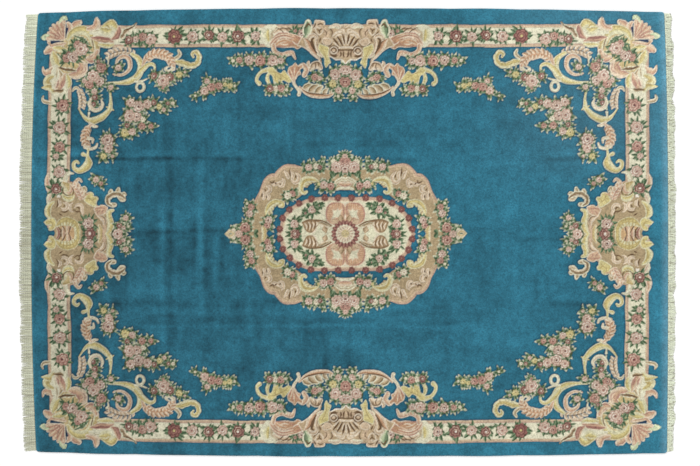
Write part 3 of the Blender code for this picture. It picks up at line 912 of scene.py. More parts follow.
def long_side() -> list[Motif]:
    """The cartouche in the middle of each long side, with its scrolls and sprays."""
    return [
        # Cream and gold crescent where the band ends
        cream((3.4, 6.6, 7.4, 5), (73, 206, 78, 203.5, 80, 198, 78, 191.5)),
        gold((2.4, 3.6, 2.4), (80, 203, 80.4, 198.5, 79, 194)),
        fawn((1, 2.4, 2.8, 2.4), (73, 201, 68, 203.5, 60, 204, 52, 201), rim=0.5),
        lines(Yarn.UMBER, 1, (71, 206.5, 66, 204, 62, 200), (66, 207, 60, 204.5, 56, 200), (60, 207,
            55, 204.5, 52, 200.5)),
        Bouquet(7, ((44.5, 200.5, 4.2, Bloom.PINK), (51.5, 203, 1.8, Bloom.ROSE)), tipped=False),
        # The pink acanthus laid along the band
        Patch(Shades.CORAL, (77.5, 189, 75.5, 195, 70, 200, 62, 201.5, 52, 200, 44, 196.5, 39, 191,
            44, 187.5, 49, 184.8, 53, 186.8, 62, 186.3, 69, 187.2, 73, 187.5), rim=0.8),
        lines(Yarn.BLUSH, 1.1, (76.4, 191, 71.6, 197.4, 62, 199.8, 50, 197), (74.6, 190, 70.6, 195,
            62.6, 197.4, 53, 195), (72.4, 189.4, 68.4, 193, 62, 195, 55, 192.8), (70, 188.6, 66, 191,
            60, 192.6)),
        lines(Yarn.ROSE, 1, (75.6, 190.4, 71, 196.2, 62.4, 198.6, 52, 196), (73.4, 189.6, 69.4, 194,
            62.2, 196.2, 54, 194), (58, 187.6, 53, 191, 47, 191), (52, 198, 46, 194.6, 42, 191)),
        lines(Yarn.PEARL, 1.2, (70, 193, 64, 196.8, 57, 195.4), (66, 190.4, 62, 189.4, 58, 190), (54, 193,
            50, 190, 46, 190)),
        lines(Yarn.ROSE, 1.2, (74, 196.6, 68, 200.6, 59, 201), (76.6, 188.8, 70, 187.6, 60, 187.4)),
        salmon((2.6, 2.4, 2.6, 2.7, 2.8, 2.4, 1), (73.5, 188.5, 72.4, 183.5, 69, 180.2, 64, 178.8,
            58.5, 180.6, 54, 181, 51.4, 175.2)),
        Frond(Shades.SALMON, (71, 182, 66, 180, 59.5, 181.5, 54, 181.5), (3.6, 3.4, 3), 3, 1, 50, 0.44),
        # The ground of the shell
        Patch(Shades.KHAKI, (-8, 209, 6, 209.3, 13, 209, 22, 208, 34, 207.5, 40, 202, 44, 197, 48, 191,
            49, 188, 44, 187, 38, 183, 34, 179, 29, 174.8, 24, 176, 20, 176.5, 14.6, 176.2, 10.4, 174,
            4.4, 174, 0, 170, -8, 172), rim=1),
        leaf((2, 4.6, 5.4, 3.4), (41, 197.5, 39.8, 201.5, 38.9, 205.5, 38.4, 210.4), rim=1.8),
        lines(Yarn.UMBER, 1.8, (40.4, 206, 38, 209.6, 35.4, 207.4)),
        # A square-topped leaf and a heart-shaped one
        Patch(Shades.FAWN, (32.6, 205, 31.8, 212.6, 28.6, 214, 21.8, 213.4, 20.8, 209.6, 22.6, 206),
            rim=1.2),
        lines(Yarn.UMBER, 1.5, (32.6, 206, 31.2, 209, 30.4, 211), (28.2, 209.4, 25.4, 210.6, 22.6, 210)),
        Patch(Shades.KHAKI, (31.2, 206, 28.6, 208, 26.4, 206.8, 24, 208, 22.2, 205.6, 23.2, 201.6,
            26.6, 198.6, 30, 201.4), rim=1.2),
        lines(Yarn.UMBER, 1.3, (29, 205, 26.6, 203.4, 26.6, 200.6), (24.4, 205.6, 26.6, 203.4), (33, 203,
            30.6, 200, 27, 197.6)),
        # The pink arm with its brown hollow, and the tan fold inside it
        coral((1, 3, 3.6, 3, 1.6), (41.6, 195.5, 38.4, 192, 36.2, 187, 33, 182.6, 29, 178), rim=0.7),
        fawn((1, 1.8, 2.2, 1.8, 0.9), (37.6, 194.6, 36.2, 197.6, 32.6, 198.6, 29.8, 197, 29.4, 193.4),
            rim=0.9),
        lines(Yarn.UMBER, 2.8, (32.6, 196, 34.6, 193.6, 33.6, 188.6, 31.4, 184, 28.4, 178.6)),
        fawn((1, 1.8, 2, 1.2), (30.6, 194, 30.2, 189, 28.8, 184, 27, 180), rim=0.4),
        # Pink and tan folds over the shell
        pinkish((1.8, 3.8, 4.4, 3.6, 1.6), (23.4, 207.6, 19.8, 206, 17.4, 202, 18.4, 197.6, 21.6, 195.6),
            rim=0.4),
        lines(Yarn.UMBER, 1, (22, 204.4, 19.6, 201.4, 20.4, 198), (16.4, 206.4, 13.8, 202.8, 14.6, 198)),
        blush((1.4, 2.4, 2.6, 1.4), (16.4, 207, 12, 208, 8, 207.4, 5.4, 205.6), rim=1),
        khaki((1, 2, 2, 1), (7, 204, 3.4, 205.6, 0.8, 203.6, 1.8, 200), rim=0.8),
        Patch(Shades.FAWN, (24.8, 192, 23, 195.6, 18.6, 196, 14.4, 194, 14.2, 190.4, 17, 188.2,
            21.4, 188.2), rim=0.8),
        lines(Yarn.UMBER, 1.5, (25, 191, 21.4, 188, 16.8, 187.8, 14, 190.6), (25.4, 196, 27, 192)),
        lines(Yarn.PEARL, 2, (14, 197.6, 9.6, 201.4, 3.4, 202), (11, 196.6, 7.8, 199, 4.6, 198.8), (0, 200,
            0.2, 195, 0, 190), (4.4, 196, 2.6, 192, 1.4, 189), (8.6, 194.6, 5.4, 191, 3.6, 188.4),
            (12.6, 191.6, 9.4, 189, 7, 187.4)),
        lines(Yarn.UMBER, 2, (13, 195.6, 10, 192, 7, 188), (9, 197.6, 6, 193, 3.4, 188), (3.4, 199.6,
            2.4, 195, 1.4, 190.6)),
        lines(Yarn.PEARL, 2, (8, 185.4, 4, 186.6, -3, 186.8)),
        # The tan ornament under the shell
        lines(Yarn.UMBER, 1.8, (10, 186.6, 6.6, 184, -2, 184.4)),
        fawn((3.6, 4, 3.6), (13.4, 183.2, 12.4, 183.6, 11.4, 183.2), rim=1),
        lines(Yarn.UMBER, 1.1, ring(12.4, 183.4, 4.8, 4.6), ring(12.4, 183.4, 2.2, 2.2)),
        pinkish((1.4, 2.8, 2), (8, 180, 4.6, 180.6, 0, 179.6), lobes=3, bite=0.5, rim=0.6),
        lines(Yarn.UMBER, 1.8, (5.6, 182.6, 5, 180, 5.6, 177.6), (2.4, 182.8, 2.6, 179.6, 1.6, 177),
            (16, 179, 12, 177.6, 8.6, 178.4)),
        lines(Yarn.WHITE, 1.7, (0, 170.4, 4, 174, 10, 174.4, 15, 176.8)),
        # The gold leg
        Patch(Shades.GOLD, (27.2, 190.6, 22, 188.6, 17.6, 186.4, 17.6, 178.6, 15.8, 174, 15, 171,
            17.2, 169.4, 20.2, 165.8, 22, 170, 22.4, 175.5, 26, 180.5, 28.5, 185.5), rim=0.8),
        lines(Yarn.OCHRE, 1, (25, 187, 21.6, 180, 19, 171)),
        blush((1.2, 2.2, 1.4), (28.6, 180, 26.6, 178.4, 24.6, 177.4), rim=0.6),
        fawn((0.8, 1.5, 1.5, 1), (28.5, 177, 26.8, 174.4, 26, 171.8, 27, 169.5)),
        lines(Yarn.UMBER, 1.8, (26, 176.4, 24.6, 174, 24.6, 170)),
        # The rose spray below the band
        Bouquet(8, ((114.5, 173.5, 1.8, Bloom.CREAM), (108, 173.8, 3.2, Bloom.ROSE),
            (66, 173, 3.4, Bloom.PINK), (98, 174, 5, Bloom.PINK), (87, 173.4, 5.4, Bloom.ROSE),
            (74, 173.2, 5.6, Bloom.BLUSH))),
        # The gold branch
        gold((2.6, 1.9, 1.7, 1.8, 2.4), (79, 164.4, 85, 162.3, 89.2, 157.8, 90.2, 153, 87.6, 150.2)),
        gold((1.4, 1.8, 2.2, 1.6), (77.4, 162, 79.2, 158, 79.4, 154, 77.6, 150.6)),
        Patch(Shades.GOLD, (80.5, 164, 78.6, 166, 74.4, 166.8, 70, 162.4, 66, 160.6, 62.6, 163.6, 58.2, 159,
            54.6, 153.4, 58.2, 151.2, 61.4, 152.8, 63.8, 153.2, 65.4, 150, 69, 149, 72.6, 150.4,
            73.6, 154.6, 75, 158.4, 78, 160), rim=0.7),
        lines(Yarn.OCHRE, 0.9, (58, 153.5, 64, 158, 71, 161, 78, 163), (66, 158.5, 66.4, 152), (71.4, 160.5,
            71, 154)),
        Bouquet(9, ((60, 144.4, 1.6, Bloom.CREAM), (71, 145.4, 3, Bloom.CREAM),
            (65.4, 145.8, 3.8, Bloom.ROSE), (76.5, 145.2, 3.8, Bloom.WINE))),
        # The pink leaf between the branch and the centre
        blush((1.8, 1.6, 1.4, 1.7, 1.8), (53.4, 156, 52.4, 151, 49.4, 146.6, 47, 143, 47.6, 139.8)),
        salmon((1.4, 2.6, 2.6, 2.6), (48, 167.5, 43.4, 169, 40, 164.5, 42.2, 159.4)),
        Patch(Shades.CORAL, (53.2, 151, 56.4, 156.5, 59, 161.5, 57.8, 166.5, 54.4, 168.4, 51.2, 171.2,
            48.2, 168.4, 44.4, 170.4, 43.4, 166.8, 46.4, 164, 45.6, 160, 48.6, 158.4, 50.6, 155), rim=0.8),
        lines(Yarn.BLUSH, 1.1, (53.4, 153, 54.6, 160, 56.4, 165), (53, 155, 52.4, 162, 51.4, 168.4),
            (52.6, 154, 49.8, 160, 46, 165.4)),
        lines(Yarn.ROSE, 0.9, (54.4, 155, 56.6, 160, 57.4, 163), (53, 158, 53.6, 164, 53.6, 167),
            (51.6, 158, 49.6, 163, 47.6, 166.4)),
        fawn((0.8, 1.9, 2, 1.2), (34.5, 164.5, 36, 167, 38, 170.5, 37.6, 172.4)),
        fawn((2.4, 4.2, 4.6, 2.6), (35.4, 165, 32.6, 168, 29, 168.6, 26, 166), rim=1),
        lines(Yarn.UMBER, 1, (31, 171, 30.4, 168, 31.6, 165), (28, 170.6, 27.4, 167.6)),
        Bouquet(8, ((26.5, 155.5, 2.4, Bloom.BLUSH), (31.5, 157, 3.6, Bloom.ROSE))),
        Frond(Shades.TAN, (45.5, 147, 40, 142.5, 33, 139.8, 25, 138.6, 18, 138.6, 11, 141),
            (9, 11.5, 10.5, 9, 6.5, 3.6), 5, -1, 64, 0.36, 1),
        coral((1, 1.8, 2.6, 2.6, 2, 0.9), (47, 147.5, 41, 142.5, 34, 139.4, 26, 138, 18, 138, 10.5, 141.5),
            rim=0.6),
        lines(Yarn.UMBER, 1.2, (44, 145, 37, 141.4, 28, 139.8, 18, 140.2)),
        Bouquet(8, ((7.5, 137.8, 1.6, Bloom.CREAM), (7, 143.6, 3.4, Bloom.BLUSH),
            (13, 150.2, 3.8, Bloom.GOLD), (1, 152.5, 5, Bloom.ROSE), (2, 164.5, 4.6, Bloom.BLUSH),
            (10.5, 159.5, 5.8, Bloom.BLUSH))),
    ]


def short_side() -> list[Motif]:
    """The cartouche in the middle of each short side, with its scrolls and sprays."""
    return [
        salmon((1.2, 2.2, 2.8, 2.6, 1.2), (300, 60, 301.4, 55, 301.2, 50, 300, 45, 299, 41.5)),
        Patch(Shades.EARTH, (299, -9, 299, 20, 300, 34, 296, 40, 288, 50, 280, 53, 271, 50, 263, 43,
            256, 36, 250, 28, 242, 24, 239, 10, 239, -9), rim=0.8),
        Hole((304, -6, 304, 6, 299, 5, 295, 3.2, 293.6, 0, 295, -3.2, 299, -5)),
        blush((1.2, 2.4, 2.6, 1.4), (295.5, 42, 298.5, 38.5, 300, 35, 300.6, 31.5)),
        # Cream flame, pink hook and tan leaf on the field side
        cream((2.4, 2.6, 2.4, 1.8, 0.9), (284, 50, 282.6, 54, 281.6, 58, 278.6, 61, 274.6, 61)),
        salmon((2.6, 2, 1.6, 1.2), (273.6, 48, 271.6, 52.5, 268.8, 54.8, 266.6, 52.6)),
        tan((1.4, 2.4, 2.4, 1.4), (264.5, 38.5, 265.2, 42.5, 263.6, 45.6, 261.8, 43), rim=1),
        Bouquet(7, ((292, 45, 5.4, Bloom.WINE),), tipped=False),
        *leaves(False, (296, 51, 1.4, 5, 1.6), (289, 51, 1.2, 5, 1.6)),
        lines(Yarn.WHITE, 2.6, (291, 36.6, 289.5, 38, 288.5, 36.4)),
        # Pink ribs beside a gold curl
        Frond(Shades.SALMON, (265.5, 33.5, 267, 39, 270, 45, 275, 49.5), (3.6, 4.6, 5, 4), 5, 0, 48, 0.42,
            0.6),
        lines(Yarn.ROSE, 1, (266, 34, 268, 40, 272, 46), (271, 36, 273, 41)),
        honey((3, 5.4, 5.6, 3.4), (284, 50, 281, 47, 279.5, 43, 280, 38.5), rim=0.6),
        salmon((0.9, 1.8, 1.8, 0.9), (277.5, 49, 276.8, 45, 278.5, 41.5, 281.6, 41.5), rim=0.4),
        lines(Yarn.UMBER, 1.2, (284.6, 47, 285, 42, 282, 38.6, 278, 39), (275.5, 47, 274.6, 42, 276.5, 38)),
        gold((1.2, 2.6, 2.8, 2.4, 1), (285.6, 39.5, 283, 36, 279.6, 34.8, 276.5, 35.5, 274.8, 38)),
        # Gold leaves at the outer edge
        gold((1.4, 3, 3.6, 3.4, 1.6), (294.8, 31.5, 298.6, 28.5, 300.6, 24, 300.6, 19.5, 298, 15.8), rim=1),
        Patch(Shades.GOLD, (305.2, 11.5, 300.5, 14.8, 295.5, 16, 292.3, 13.5, 292, 8, 295, 3.4, 299.6, 2.8,
            300, 6.4, 297.6, 8.4, 302, 8), rim=1),
        lines(Yarn.OCHRE, 1, (296.5, 29, 300, 24, 298.6, 18), (302.5, 11, 297, 11.5, 295, 6)),
        # Curls on the tan ground
        fawn((0.8, 1.6, 1.4, 0.8), (289.8, 34.2, 288.5, 31.5, 288.2, 29, 289.4, 27)),
        fawn((0.8, 1.5, 1.6, 1.6, 1.4, 0.8), (284.5, 31.4, 281.6, 30.4, 280.6, 27.6, 282, 24.8, 285, 24,
            287, 25.4)),
        fawn((0.8, 1.4, 1.6, 1.2, 0.7), (275.6, 30.5, 278, 28.6, 278.4, 25.6, 276.8, 23, 274.6, 22.2)),
        fawn((0.8, 1.4, 1.6, 1.6, 1.5, 1.2, 0.7), (273.6, 26.6, 271.5, 28.6, 268, 29, 265.6, 26.5,
            266, 23.4, 264.8, 20.4, 265, 17.6)),
        lines(Yarn.UMBER, 1.4, (291, 33, 290.6, 29, 292, 26), (287.4, 22, 283, 21.4, 279.6, 23),
            (283.4, 28.4, 284.6, 27), (274.6, 24.6, 271, 22, 268.2, 22.4, 267, 19.4), (271, 26.4, 269, 26,
            268.6, 24), (289, 20, 286, 18)),
        # The gold shell with pink ribs
        Patch(Shades.AMBER, (291, -9, 291, 6, 287, 11, 279, 13, 273, 10, 271, 4, 271, -9), rim=0.2),
        salmon((1.4, 3.4, 1.4), (281.5, 9.6, 279, 6.5, 280, 1), rim=0.5),
        rose((1.2, 2.8, 1.8), (291.5, 5.5, 289.5, 2, 289.8, -2), lobes=3, bite=0.5),
        salmon((1, 2.2, 2), (284.8, 6, 284.4, 2, 285, -3), rim=0.5),
        lines(Yarn.UMBER, 1.2, (287.5, 9, 284.5, 6, 282, 1), (286.8, 4, 286.8, 0), (277, 10, 277.4, 5,
            279, 0), (291, 7, 288, 4, 287.6, 0)),
        gold((1.8, 4, 4.8, 4.2, 3.2, 2.9, 2.9), (291, 8, 286.6, 11.2, 280.6, 12.2, 274.6, 10.6, 271, 6.6,
            270.2, 2, 270.2, -4), lobes=4, bite=0.12, rim=0.6),
        lines(Yarn.OCHRE, 1.2, (287, 7.6, 288.6, 13), (284.4, 7.4, 285, 15.4), (281.4, 7.6, 281.2, 16.4),
            (278.6, 7.4, 277.4, 16.2), (276.2, 6.8, 273.4, 14), (274.4, 5.6, 269.4, 11)),
        # Gold leaf, pink lobe and gold crescent towards the field
        Patch(Shades.GOLD, (264, 33, 262, 38, 260.6, 41.2, 256.4, 42, 253.8, 40, 253.4, 37.8, 250, 37.2,
            248.8, 34.4, 250.6, 31.6, 251.4, 27.4, 254, 26.2, 258.6, 28.6, 262, 31), rim=1),
        lines(Yarn.OCHRE, 1, (262.6, 35, 258, 35, 252.6, 30), (259, 40, 258, 35), (252, 35.4, 255, 33)),
        lines(Yarn.SALMON, 1.6, (263.4, 37.5, 260.6, 39.6, 257, 40)),
        Patch(Shades.SALMON, (254.4, 24, 251.6, 27, 249, 27.4, 246.6, 28.8, 242.6, 28.4, 239.4, 26,
            241, 21.5, 242.8, 19.6, 246.6, 18, 250, 16.5, 252, 19), rim=0.9),
        lines(Yarn.ROSE, 1, (252.6, 24.6, 247.4, 25.4, 242, 24.6), (250.6, 20, 248, 23), (246, 20.4,
            244.6, 23.6)),
        fawn((1.4, 2.8, 2.6, 1.2), (248.5, 17, 245.6, 15.8, 243.4, 13, 243.6, 9.6), rim=0.5),
        honey((1.4, 2.6, 2.6), (248.4, 8.4, 247.2, 4, 246.8, -2), rim=0.5),
        pinkish((1.2, 2.2, 1.6), (243, 8, 242.8, 3, 243.4, -2)),
        gold((1.6, 2.5, 2.6, 3, 3.4, 2.8, 1.2), (234.9, 23.6, 238, 22, 238.6, 18, 237.2, 13.4, 236.9, 8.4,
            238.4, 3.4, 241.6, -0.5), rim=0.9),
        Bouquet(12, ((259.4, 10.2, 5.6, Bloom.PINK), (257.5, 0.6, 5.4, Bloom.WINE)), tipped=False),
        # The tan C-shaped acanthus
        tan((1.6, 2.4, 2), (237, 38.5, 237.2, 41.4, 236.6, 43), rim=1),
        tan((1.8, 2.6, 1.6), (231, 40.6, 229.6, 43.4, 229, 45.6), rim=1),
        tan((1.8, 2.2, 1.4), (226.4, 39.6, 223.8, 40.2, 222.4, 39.6), rim=1),
        tan((2, 3, 2.4), (229, 37.4, 226, 35.2, 224, 34.6), rim=1),
        tan((1.6, 2.6, 2.2), (239.4, 30, 235.4, 28.8, 233, 29), rim=1),
        tan((1.6, 2.6, 2.9, 3, 3, 3, 2, 1.2), (236, 28, 239.4, 30.6, 239.8, 35, 236.8, 38.4, 232, 39.8,
            227.6, 39, 224, 37, 222.8, 35.4), lobes=6, bite=0.2, rim=1),
        Bouquet(8, ((218.8, 7.6, 1.2, Bloom.CREAM), (221.6, 16, 3, Bloom.BLUSH),
            (224, 6.4, 2.2, Bloom.PINK), (228.4, 8.4, 3, Bloom.WINE), (229.8, 0.6, 5, Bloom.BLUSH))),
    ]


def medallion() -> list[Motif]:
    """The medallion: a scalloped tan ring, a ring of blue, and a cream oval with a rosette."""
    rim = (
        44, 67.8, 54, 69, 62.5, 68.4, 68.6, 63.5, 71.8, 58.9, 77.4, 58.3, 82.3, 53.5, 84.8, 47.5,
        87.3, 41.5, 91.5, 34.5,
    )
    discs = ((6.9, 36.0), (20.8, 36.2), (34.4, 35.4), (46.6, 31.0), (56.0, 24.2), (63.2, 15.6), (66.2, 5.0))
    return [
        Patch(Shades.EARTH, (-9, 70, 10, 67.5, 24, 66, 34, 66, *rim, 96, 28, 99.5, 20, 101.5, 9, 103, -9,
            -9, -9), rim=1.3),
        # The carved edge of the ring
        pinkish((2, 4.2, 4.6, 4.4, 4.6, 4.6, 4.4, 4.2, 3.6, 1.6), np.reshape(rim, (-1, 2)) * (0.96, 0.955),
            lobes=7, bite=0.35, side=-1, rim=0.3),
        lines(Yarn.SHELL, 2.2, rim),
        fawn((0.9, 1.9, 2.2, 1.2), (79.5, 48.5, 76.3, 46.5, 76.5, 43, 79, 41.8)),
        fawn((1, 1.8, 1.4), (82.6, 42.5, 81.6, 38.5, 82.3, 35.5)),
        fawn((1, 1.8, 1.4), (78.5, 40.3, 77, 38, 77.6, 35.3)),
        fawn((0.9, 1.7, 1.7, 1.1), (63.4, 56, 62.3, 53, 63.2, 48.5, 66.5, 47.3)),
        fawn((0.9, 1.8, 1.7, 1), (64, 53.5, 67, 50.8, 71, 49.3, 74, 49)),
        fawn((1, 1.9, 1.6), (61, 63, 59, 59.5, 57.8, 56.5)),
        fawn((1, 1.8, 1.6), (55, 63, 53, 59.5, 53.5, 56)),
        fawn((0.9, 1.8, 2.1, 1.9, 1.1), (50, 62, 47, 58, 47.5, 53.5, 51, 51.6, 54.5, 54)),
        lines(Yarn.UMBER, 1.5, (84, 40.5, 84, 37.5), (81.3, 45, 80.3, 43), (79.3, 38.5, 79.5, 36),
            (66, 50.6, 65.4, 49.2), (71, 51, 69.5, 50), (56.5, 65, 56, 61.5, 55.5, 58), (50.3, 59,
            49.5, 56.5), (76.5, 52.5, 73, 51, 72, 53.5)),
        Hole((-9, 43.5, 7, 43.5, 14, 42.3, 21, 43.2, 26, 45.5, 29.3, 50.4, 33.5, 51.4, 37.3, 48.6,
            38.6, 46.6, 42.6, 47.2, 42.6, 43.8, 39, 43.2, 39, 41.2, 44, 39.2, 48.3, 36, 55, 34.2, 61, 31.8,
            61.6, 26.8, 66.5, 26, 69, 28.4, 71.3, 27.4, 74.3, 23.5, 74.5, 18.5, 72.5, 14.5, 74.8, 8, 76, -9,
            -9, -9)),
        Bouquet(7, ((27, 50, 1.6, Bloom.GOLD), (22, 49, 4, Bloom.BLUSH), (14.6, 47.6, 3.8, Bloom.ROSE))),
        Bouquet(7, ((53.3, 40.4, 3.2, Bloom.ROSE), (58.2, 38.2, 3.6, Bloom.CREAM))),
        Bouquet(7, ((78.6, 8.4, 3.4, Bloom.ROSE), (77.4, 14, 3.8, Bloom.PINK))),
        cream((2.2, 1.8, 2.2, 1.4), (-1, 53.5, 3, 54.8, 7, 53, 10, 51), lobes=5, bite=0.3),
        salmon((2.6, 2.8, 2), (-3, 49.3, 2, 49.3, 5, 49.6), rim=0.5),
        cream((1.2, 1.4, 1.2), (-1, 45, 4, 45.5, 8, 44.3)),
        # The two gold crescents, toothed with pale wool on their inner sides
        Frond(Shades.GOLD, (44.6, 43.8, 44.6, 48.5, 40.5, 52.6, 35, 54, 30, 53), (3, 4.4, 4.6, 3.4, 1.8), 5,
            1, 64, 0.24, 0.5),
        gold((0.9, 2.2, 3, 3.2, 2.9, 2.3, 1.8, 1.5), (27.5, 52.4, 31.5, 54.4, 36.5, 55.2, 41.5, 54,
            44.3, 49.4, 44.6, 44, 41.8, 41.2, 39.4, 42.6)),
        Frond(Shades.GOLD, (64.8, 30, 69.5, 30.6, 74.6, 27.8, 78, 23, 79.5, 19.5),
            (1.8, 3.2, 4.6, 4.4, 2.4), 5, -1, 64, 0.24, 0.5),
        gold((0.8, 2.2, 3, 3, 2.6, 2.6, 2.3, 1.4), (80, 19.5, 79, 24, 76.4, 28.6, 72, 31.6, 67.5, 31.9,
            63.8, 30.4, 63.6, 27.8, 66.3, 27.6)),
        lines(Yarn.OCHRE, 1.3, (31, 54.4, 36.5, 55, 41.5, 53.5, 44, 48.5), (78.4, 25, 75, 29.3, 70, 31.4),
            (67, 30.4, 65, 29.6)),
        # The clusters at the ends of both axes and between them
        Bouquet(9, ((0.5, 77.5, 2.6, Bloom.BLUSH), (11.5, 72.4, 2.8, Bloom.CREAM), (2, 72, 4, Bloom.ROSE),
            (8.6, 66.8, 5.8, Bloom.BLUSH), (0, 65, 4.6, Bloom.PINK))),
        *leaves(False, (15.5, 62.5, -2.2, 7, 1.9), (4, 61, -1.2, 5, 1.9), (13.5, 55.5, 1.4, 6, 1.9),
            (16, 52, 1.9, 5, 1.6), (19.5, 68, -1, 7, 1.6)),
        Bouquet(9, ((22.6, 72.4, 1.2, Bloom.CREAM), (37, 67.2, 3.8, Bloom.BLUSH),
            (29.4, 68, 3.2, Bloom.CREAM), (25.8, 66.8, 2.6, Bloom.WINE))),
        *leaves(True, (36, 70, 1.6, 6, 1.5), (43.8, 68, 1.9, 6.5, 1.7), (24, 69, 2.2, 6, 1.6)),
        *leaves(False, (41, 67, -1.2, 6, 1.7)),
        Bouquet(8, ((99, 30.6, 1.4, Bloom.CREAM), (94.8, 27, 3.4, Bloom.ROSE),
            (96.3, 20.4, 3.8, Bloom.PINK))),
        Bouquet(9, ((112.5, 3.5, 2.4, Bloom.CREAM), (107, 0, 4, Bloom.BLUSH),
            (100.8, 6.4, 5.2, Bloom.ROSE))),
        honey((1, 1.8, 1.6, 0.8), (112, 0.5, 115, 2.5, 117.5, 2, 120.5, 0)),
        honey((1.4, 2.8, 2), (83, 7, 82, 3, 82, -2), rim=0.4),
        *leaves(False, (88.5, 4, -0.9, 6, 2.2)),
        # The oval: a mauve edge with discs, and cream inside it
        Patch(Shades.PINKISH, (-9, 37, 7, 36.8, 21, 37, 34.6, 36.2, 46.5, 32, 56, 25.6, 63.6, 16.6, 66.4, 5,
            67, -9, -9, -9), rim=2.6),
        Patch(Shades.IVORY, (-9, 33.4, 3, 33.4, 7, 32.4, 14, 34.4, 20, 33.2, 27.6, 34.2, 33, 32.6, 40, 31.8,
            45, 28.4, 52, 25, 56, 20.4, 60.6, 16, 61.4, 10.4, 63.6, 4, 62.8, -9, -9, -9), rim=1),
        *(Rose(u, v, 3.5, Bloom.DISC) for u, v in discs),
        # The tan scrolls
        Patch(Shades.BARK, (43.6, 12, 38, 14.6, 32, 15, 26, 14.4, 20, 12.8, 13.6, 8.6, 17, 7.2, 22, 9.2,
            26.4, 9, 29.2, 6.4, 30.8, 3, 34, 1.4, 38.2, 2, 41.2, 5.6), rim=1.5),
        lines(Yarn.BARK, 2, (43, 11, 36, 13, 27, 12.4, 19, 10.6, 14, 8.4), (39.4, 11, 37.6, 7.4, 38.2, 3.6),
            (35.4, 12, 34, 8, 35, 3.4), (31.4, 12, 30.2, 9, 31.6, 5)),
        lines(Yarn.PEARL, 1.3, (40.6, 11, 38.8, 8, 39.4, 5), (36.8, 12, 35.2, 8.4, 36.2, 4.6), (32.8, 12.2,
            31.4, 9.4, 33, 5.6), (28.8, 12, 27.8, 10.4, 29.2, 8.4)),
        lines(Yarn.UMBER, 0.9, (38.6, 13, 36.8, 8.6, 37.6, 3.6), (34.6, 13.4, 33.2, 9.4, 34.4, 3.4),
            (30.6, 13.4, 29.6, 10.4, 31, 6), (43, 12, 36, 14.2, 27, 13.8, 19, 11.6, 13, 8)),
        lines(Yarn.PEARL, 1.6, (28, 7.6, 30, 3.6, 33.6, 0.6), (17, 6.2, 22, 8, 26, 7.8)),
        tan((1, 1.9, 1.9, 0.8), (27, 10.4, 23.6, 10.4, 20, 8.8, 16.4, 8.2), rim=0.4),
        bark((1, 3, 2.4, 0.8), (21, 7, 20.4, 5.2, 19.8, 3.4, 19.4, 1.4), rim=0.7),
        # The pink frames
        Patch(Shades.SALMON, (-4, 29.8, 0, 29.8, 2.6, 31.4, 6.5, 32.2, 13.5, 31.8, 18.3, 28.4, 20, 22,
            19.4, 16, 16, 10.6, 8, 8, -4, 8), rim=0.5),
        lines(Yarn.CORAL, 1.3, *((19.6, v, 13.4, v - 0.4) for v in (13.4, 15.6, 17.8, 20, 22.2, 24.4, 26.6)),
            *((u, 31.6, 0.92 * u, 25.6) for u in (4.6, 6.8, 9, 11.2, 13.4))),
        lines(Yarn.ROSE, 1.3, (15.6, 11, 18.6, 16, 19, 22, 17.2, 27.6, 12.6, 30.6, 6, 31), (3, 30, 1.6, 25,
            1.8, 19)),
        Patch(Shades.IVORY, (7.4, 27, 9.4, 24.4, 12.8, 24.6, 12.2, 20, 14, 14.8, 8.4, 16.6, 3.4, 15.4,
            4.4, 20.4, 3, 25.4, 6, 24.4), rim=0.8),
        lines(Yarn.PEARL, 2, (0, 33, 0, 28), (0, 20, 0, 15)),
        bark((1.2, 3.2, 2.4, 0.8), (4.6, 18.4, 4.4, 16, 3.8, 14, 3, 12), rim=0.7),
        pinkish((1.2, 3.2, 3, 1.2), (14, 13.6, 11.6, 12.8, 9.4, 11.6, 7.4, 10), rim=0.7),
        # The rosette
        Fan(Shades.WINE, 0, 0, 14.2, 20),
        Fan(Shades.BLUSH, 0, 0, 9.6, 16),
        Fan(Shades.HONEY, 0, 0, 5.2, 11),
        Bouquet(9, ((26, 28.5, 1, Bloom.BLUSH), (40, 21, 1.4, Bloom.WINE), (33.6, 24.6, 3.9, Bloom.BLUSH)),
            tipped=False),
        *leaves(False, (27, 25, 0.5, 6, 1.8), (26, 28, 2.6, 6.5, 1.8), (30, 22, -2.9, 5.5, 1.7),
            (36, 21, -0.9, 5.5, 1.7), (31, 28.5, 1.2, 4.5, 1.6)),
        Bouquet(9, ((51.2, 10.2, 4.3, Bloom.BLUSH), (50.6, 0, 5.2, Bloom.WINE)), tipped=False),
    ]


def painted_chart() -> Chart:
    """Charts the quarter: the band first, then what lies over it, then the clipped outlines."""
    chart = Chart()
    for section in (band, short_side, long_side, corner, corner_sprays, medallion):
        motifs = section()
        for motif in motifs:
            motif.paint(chart)
        LOG.info("charted %s: %d motifs", section.__name__, len(motifs))
    chart.clip()
    return chart


@dataclass(frozen=True)
class Line:
    """How far one line of the rug stands off its straight place.

    Attributes:
        place: Where it would be on a straight rug, in metres from the middle.
        middle: Its shift in the middle of its run.
        low: Its shift at the end of its run that lies west or south.
        high: Its shift at the other end.
    """

    place: float
    middle: float
    low: float
    high: float

    def shift(self, share: Array) -> Array:
        """The shift at shares from -1 to 1 of its run: a power of the share each way."""
        end = np.where(share > 0.0, self.high, self.low)
        return self.middle + (end - self.middle) * np.minimum(np.abs(share), 1.1) ** 2.2


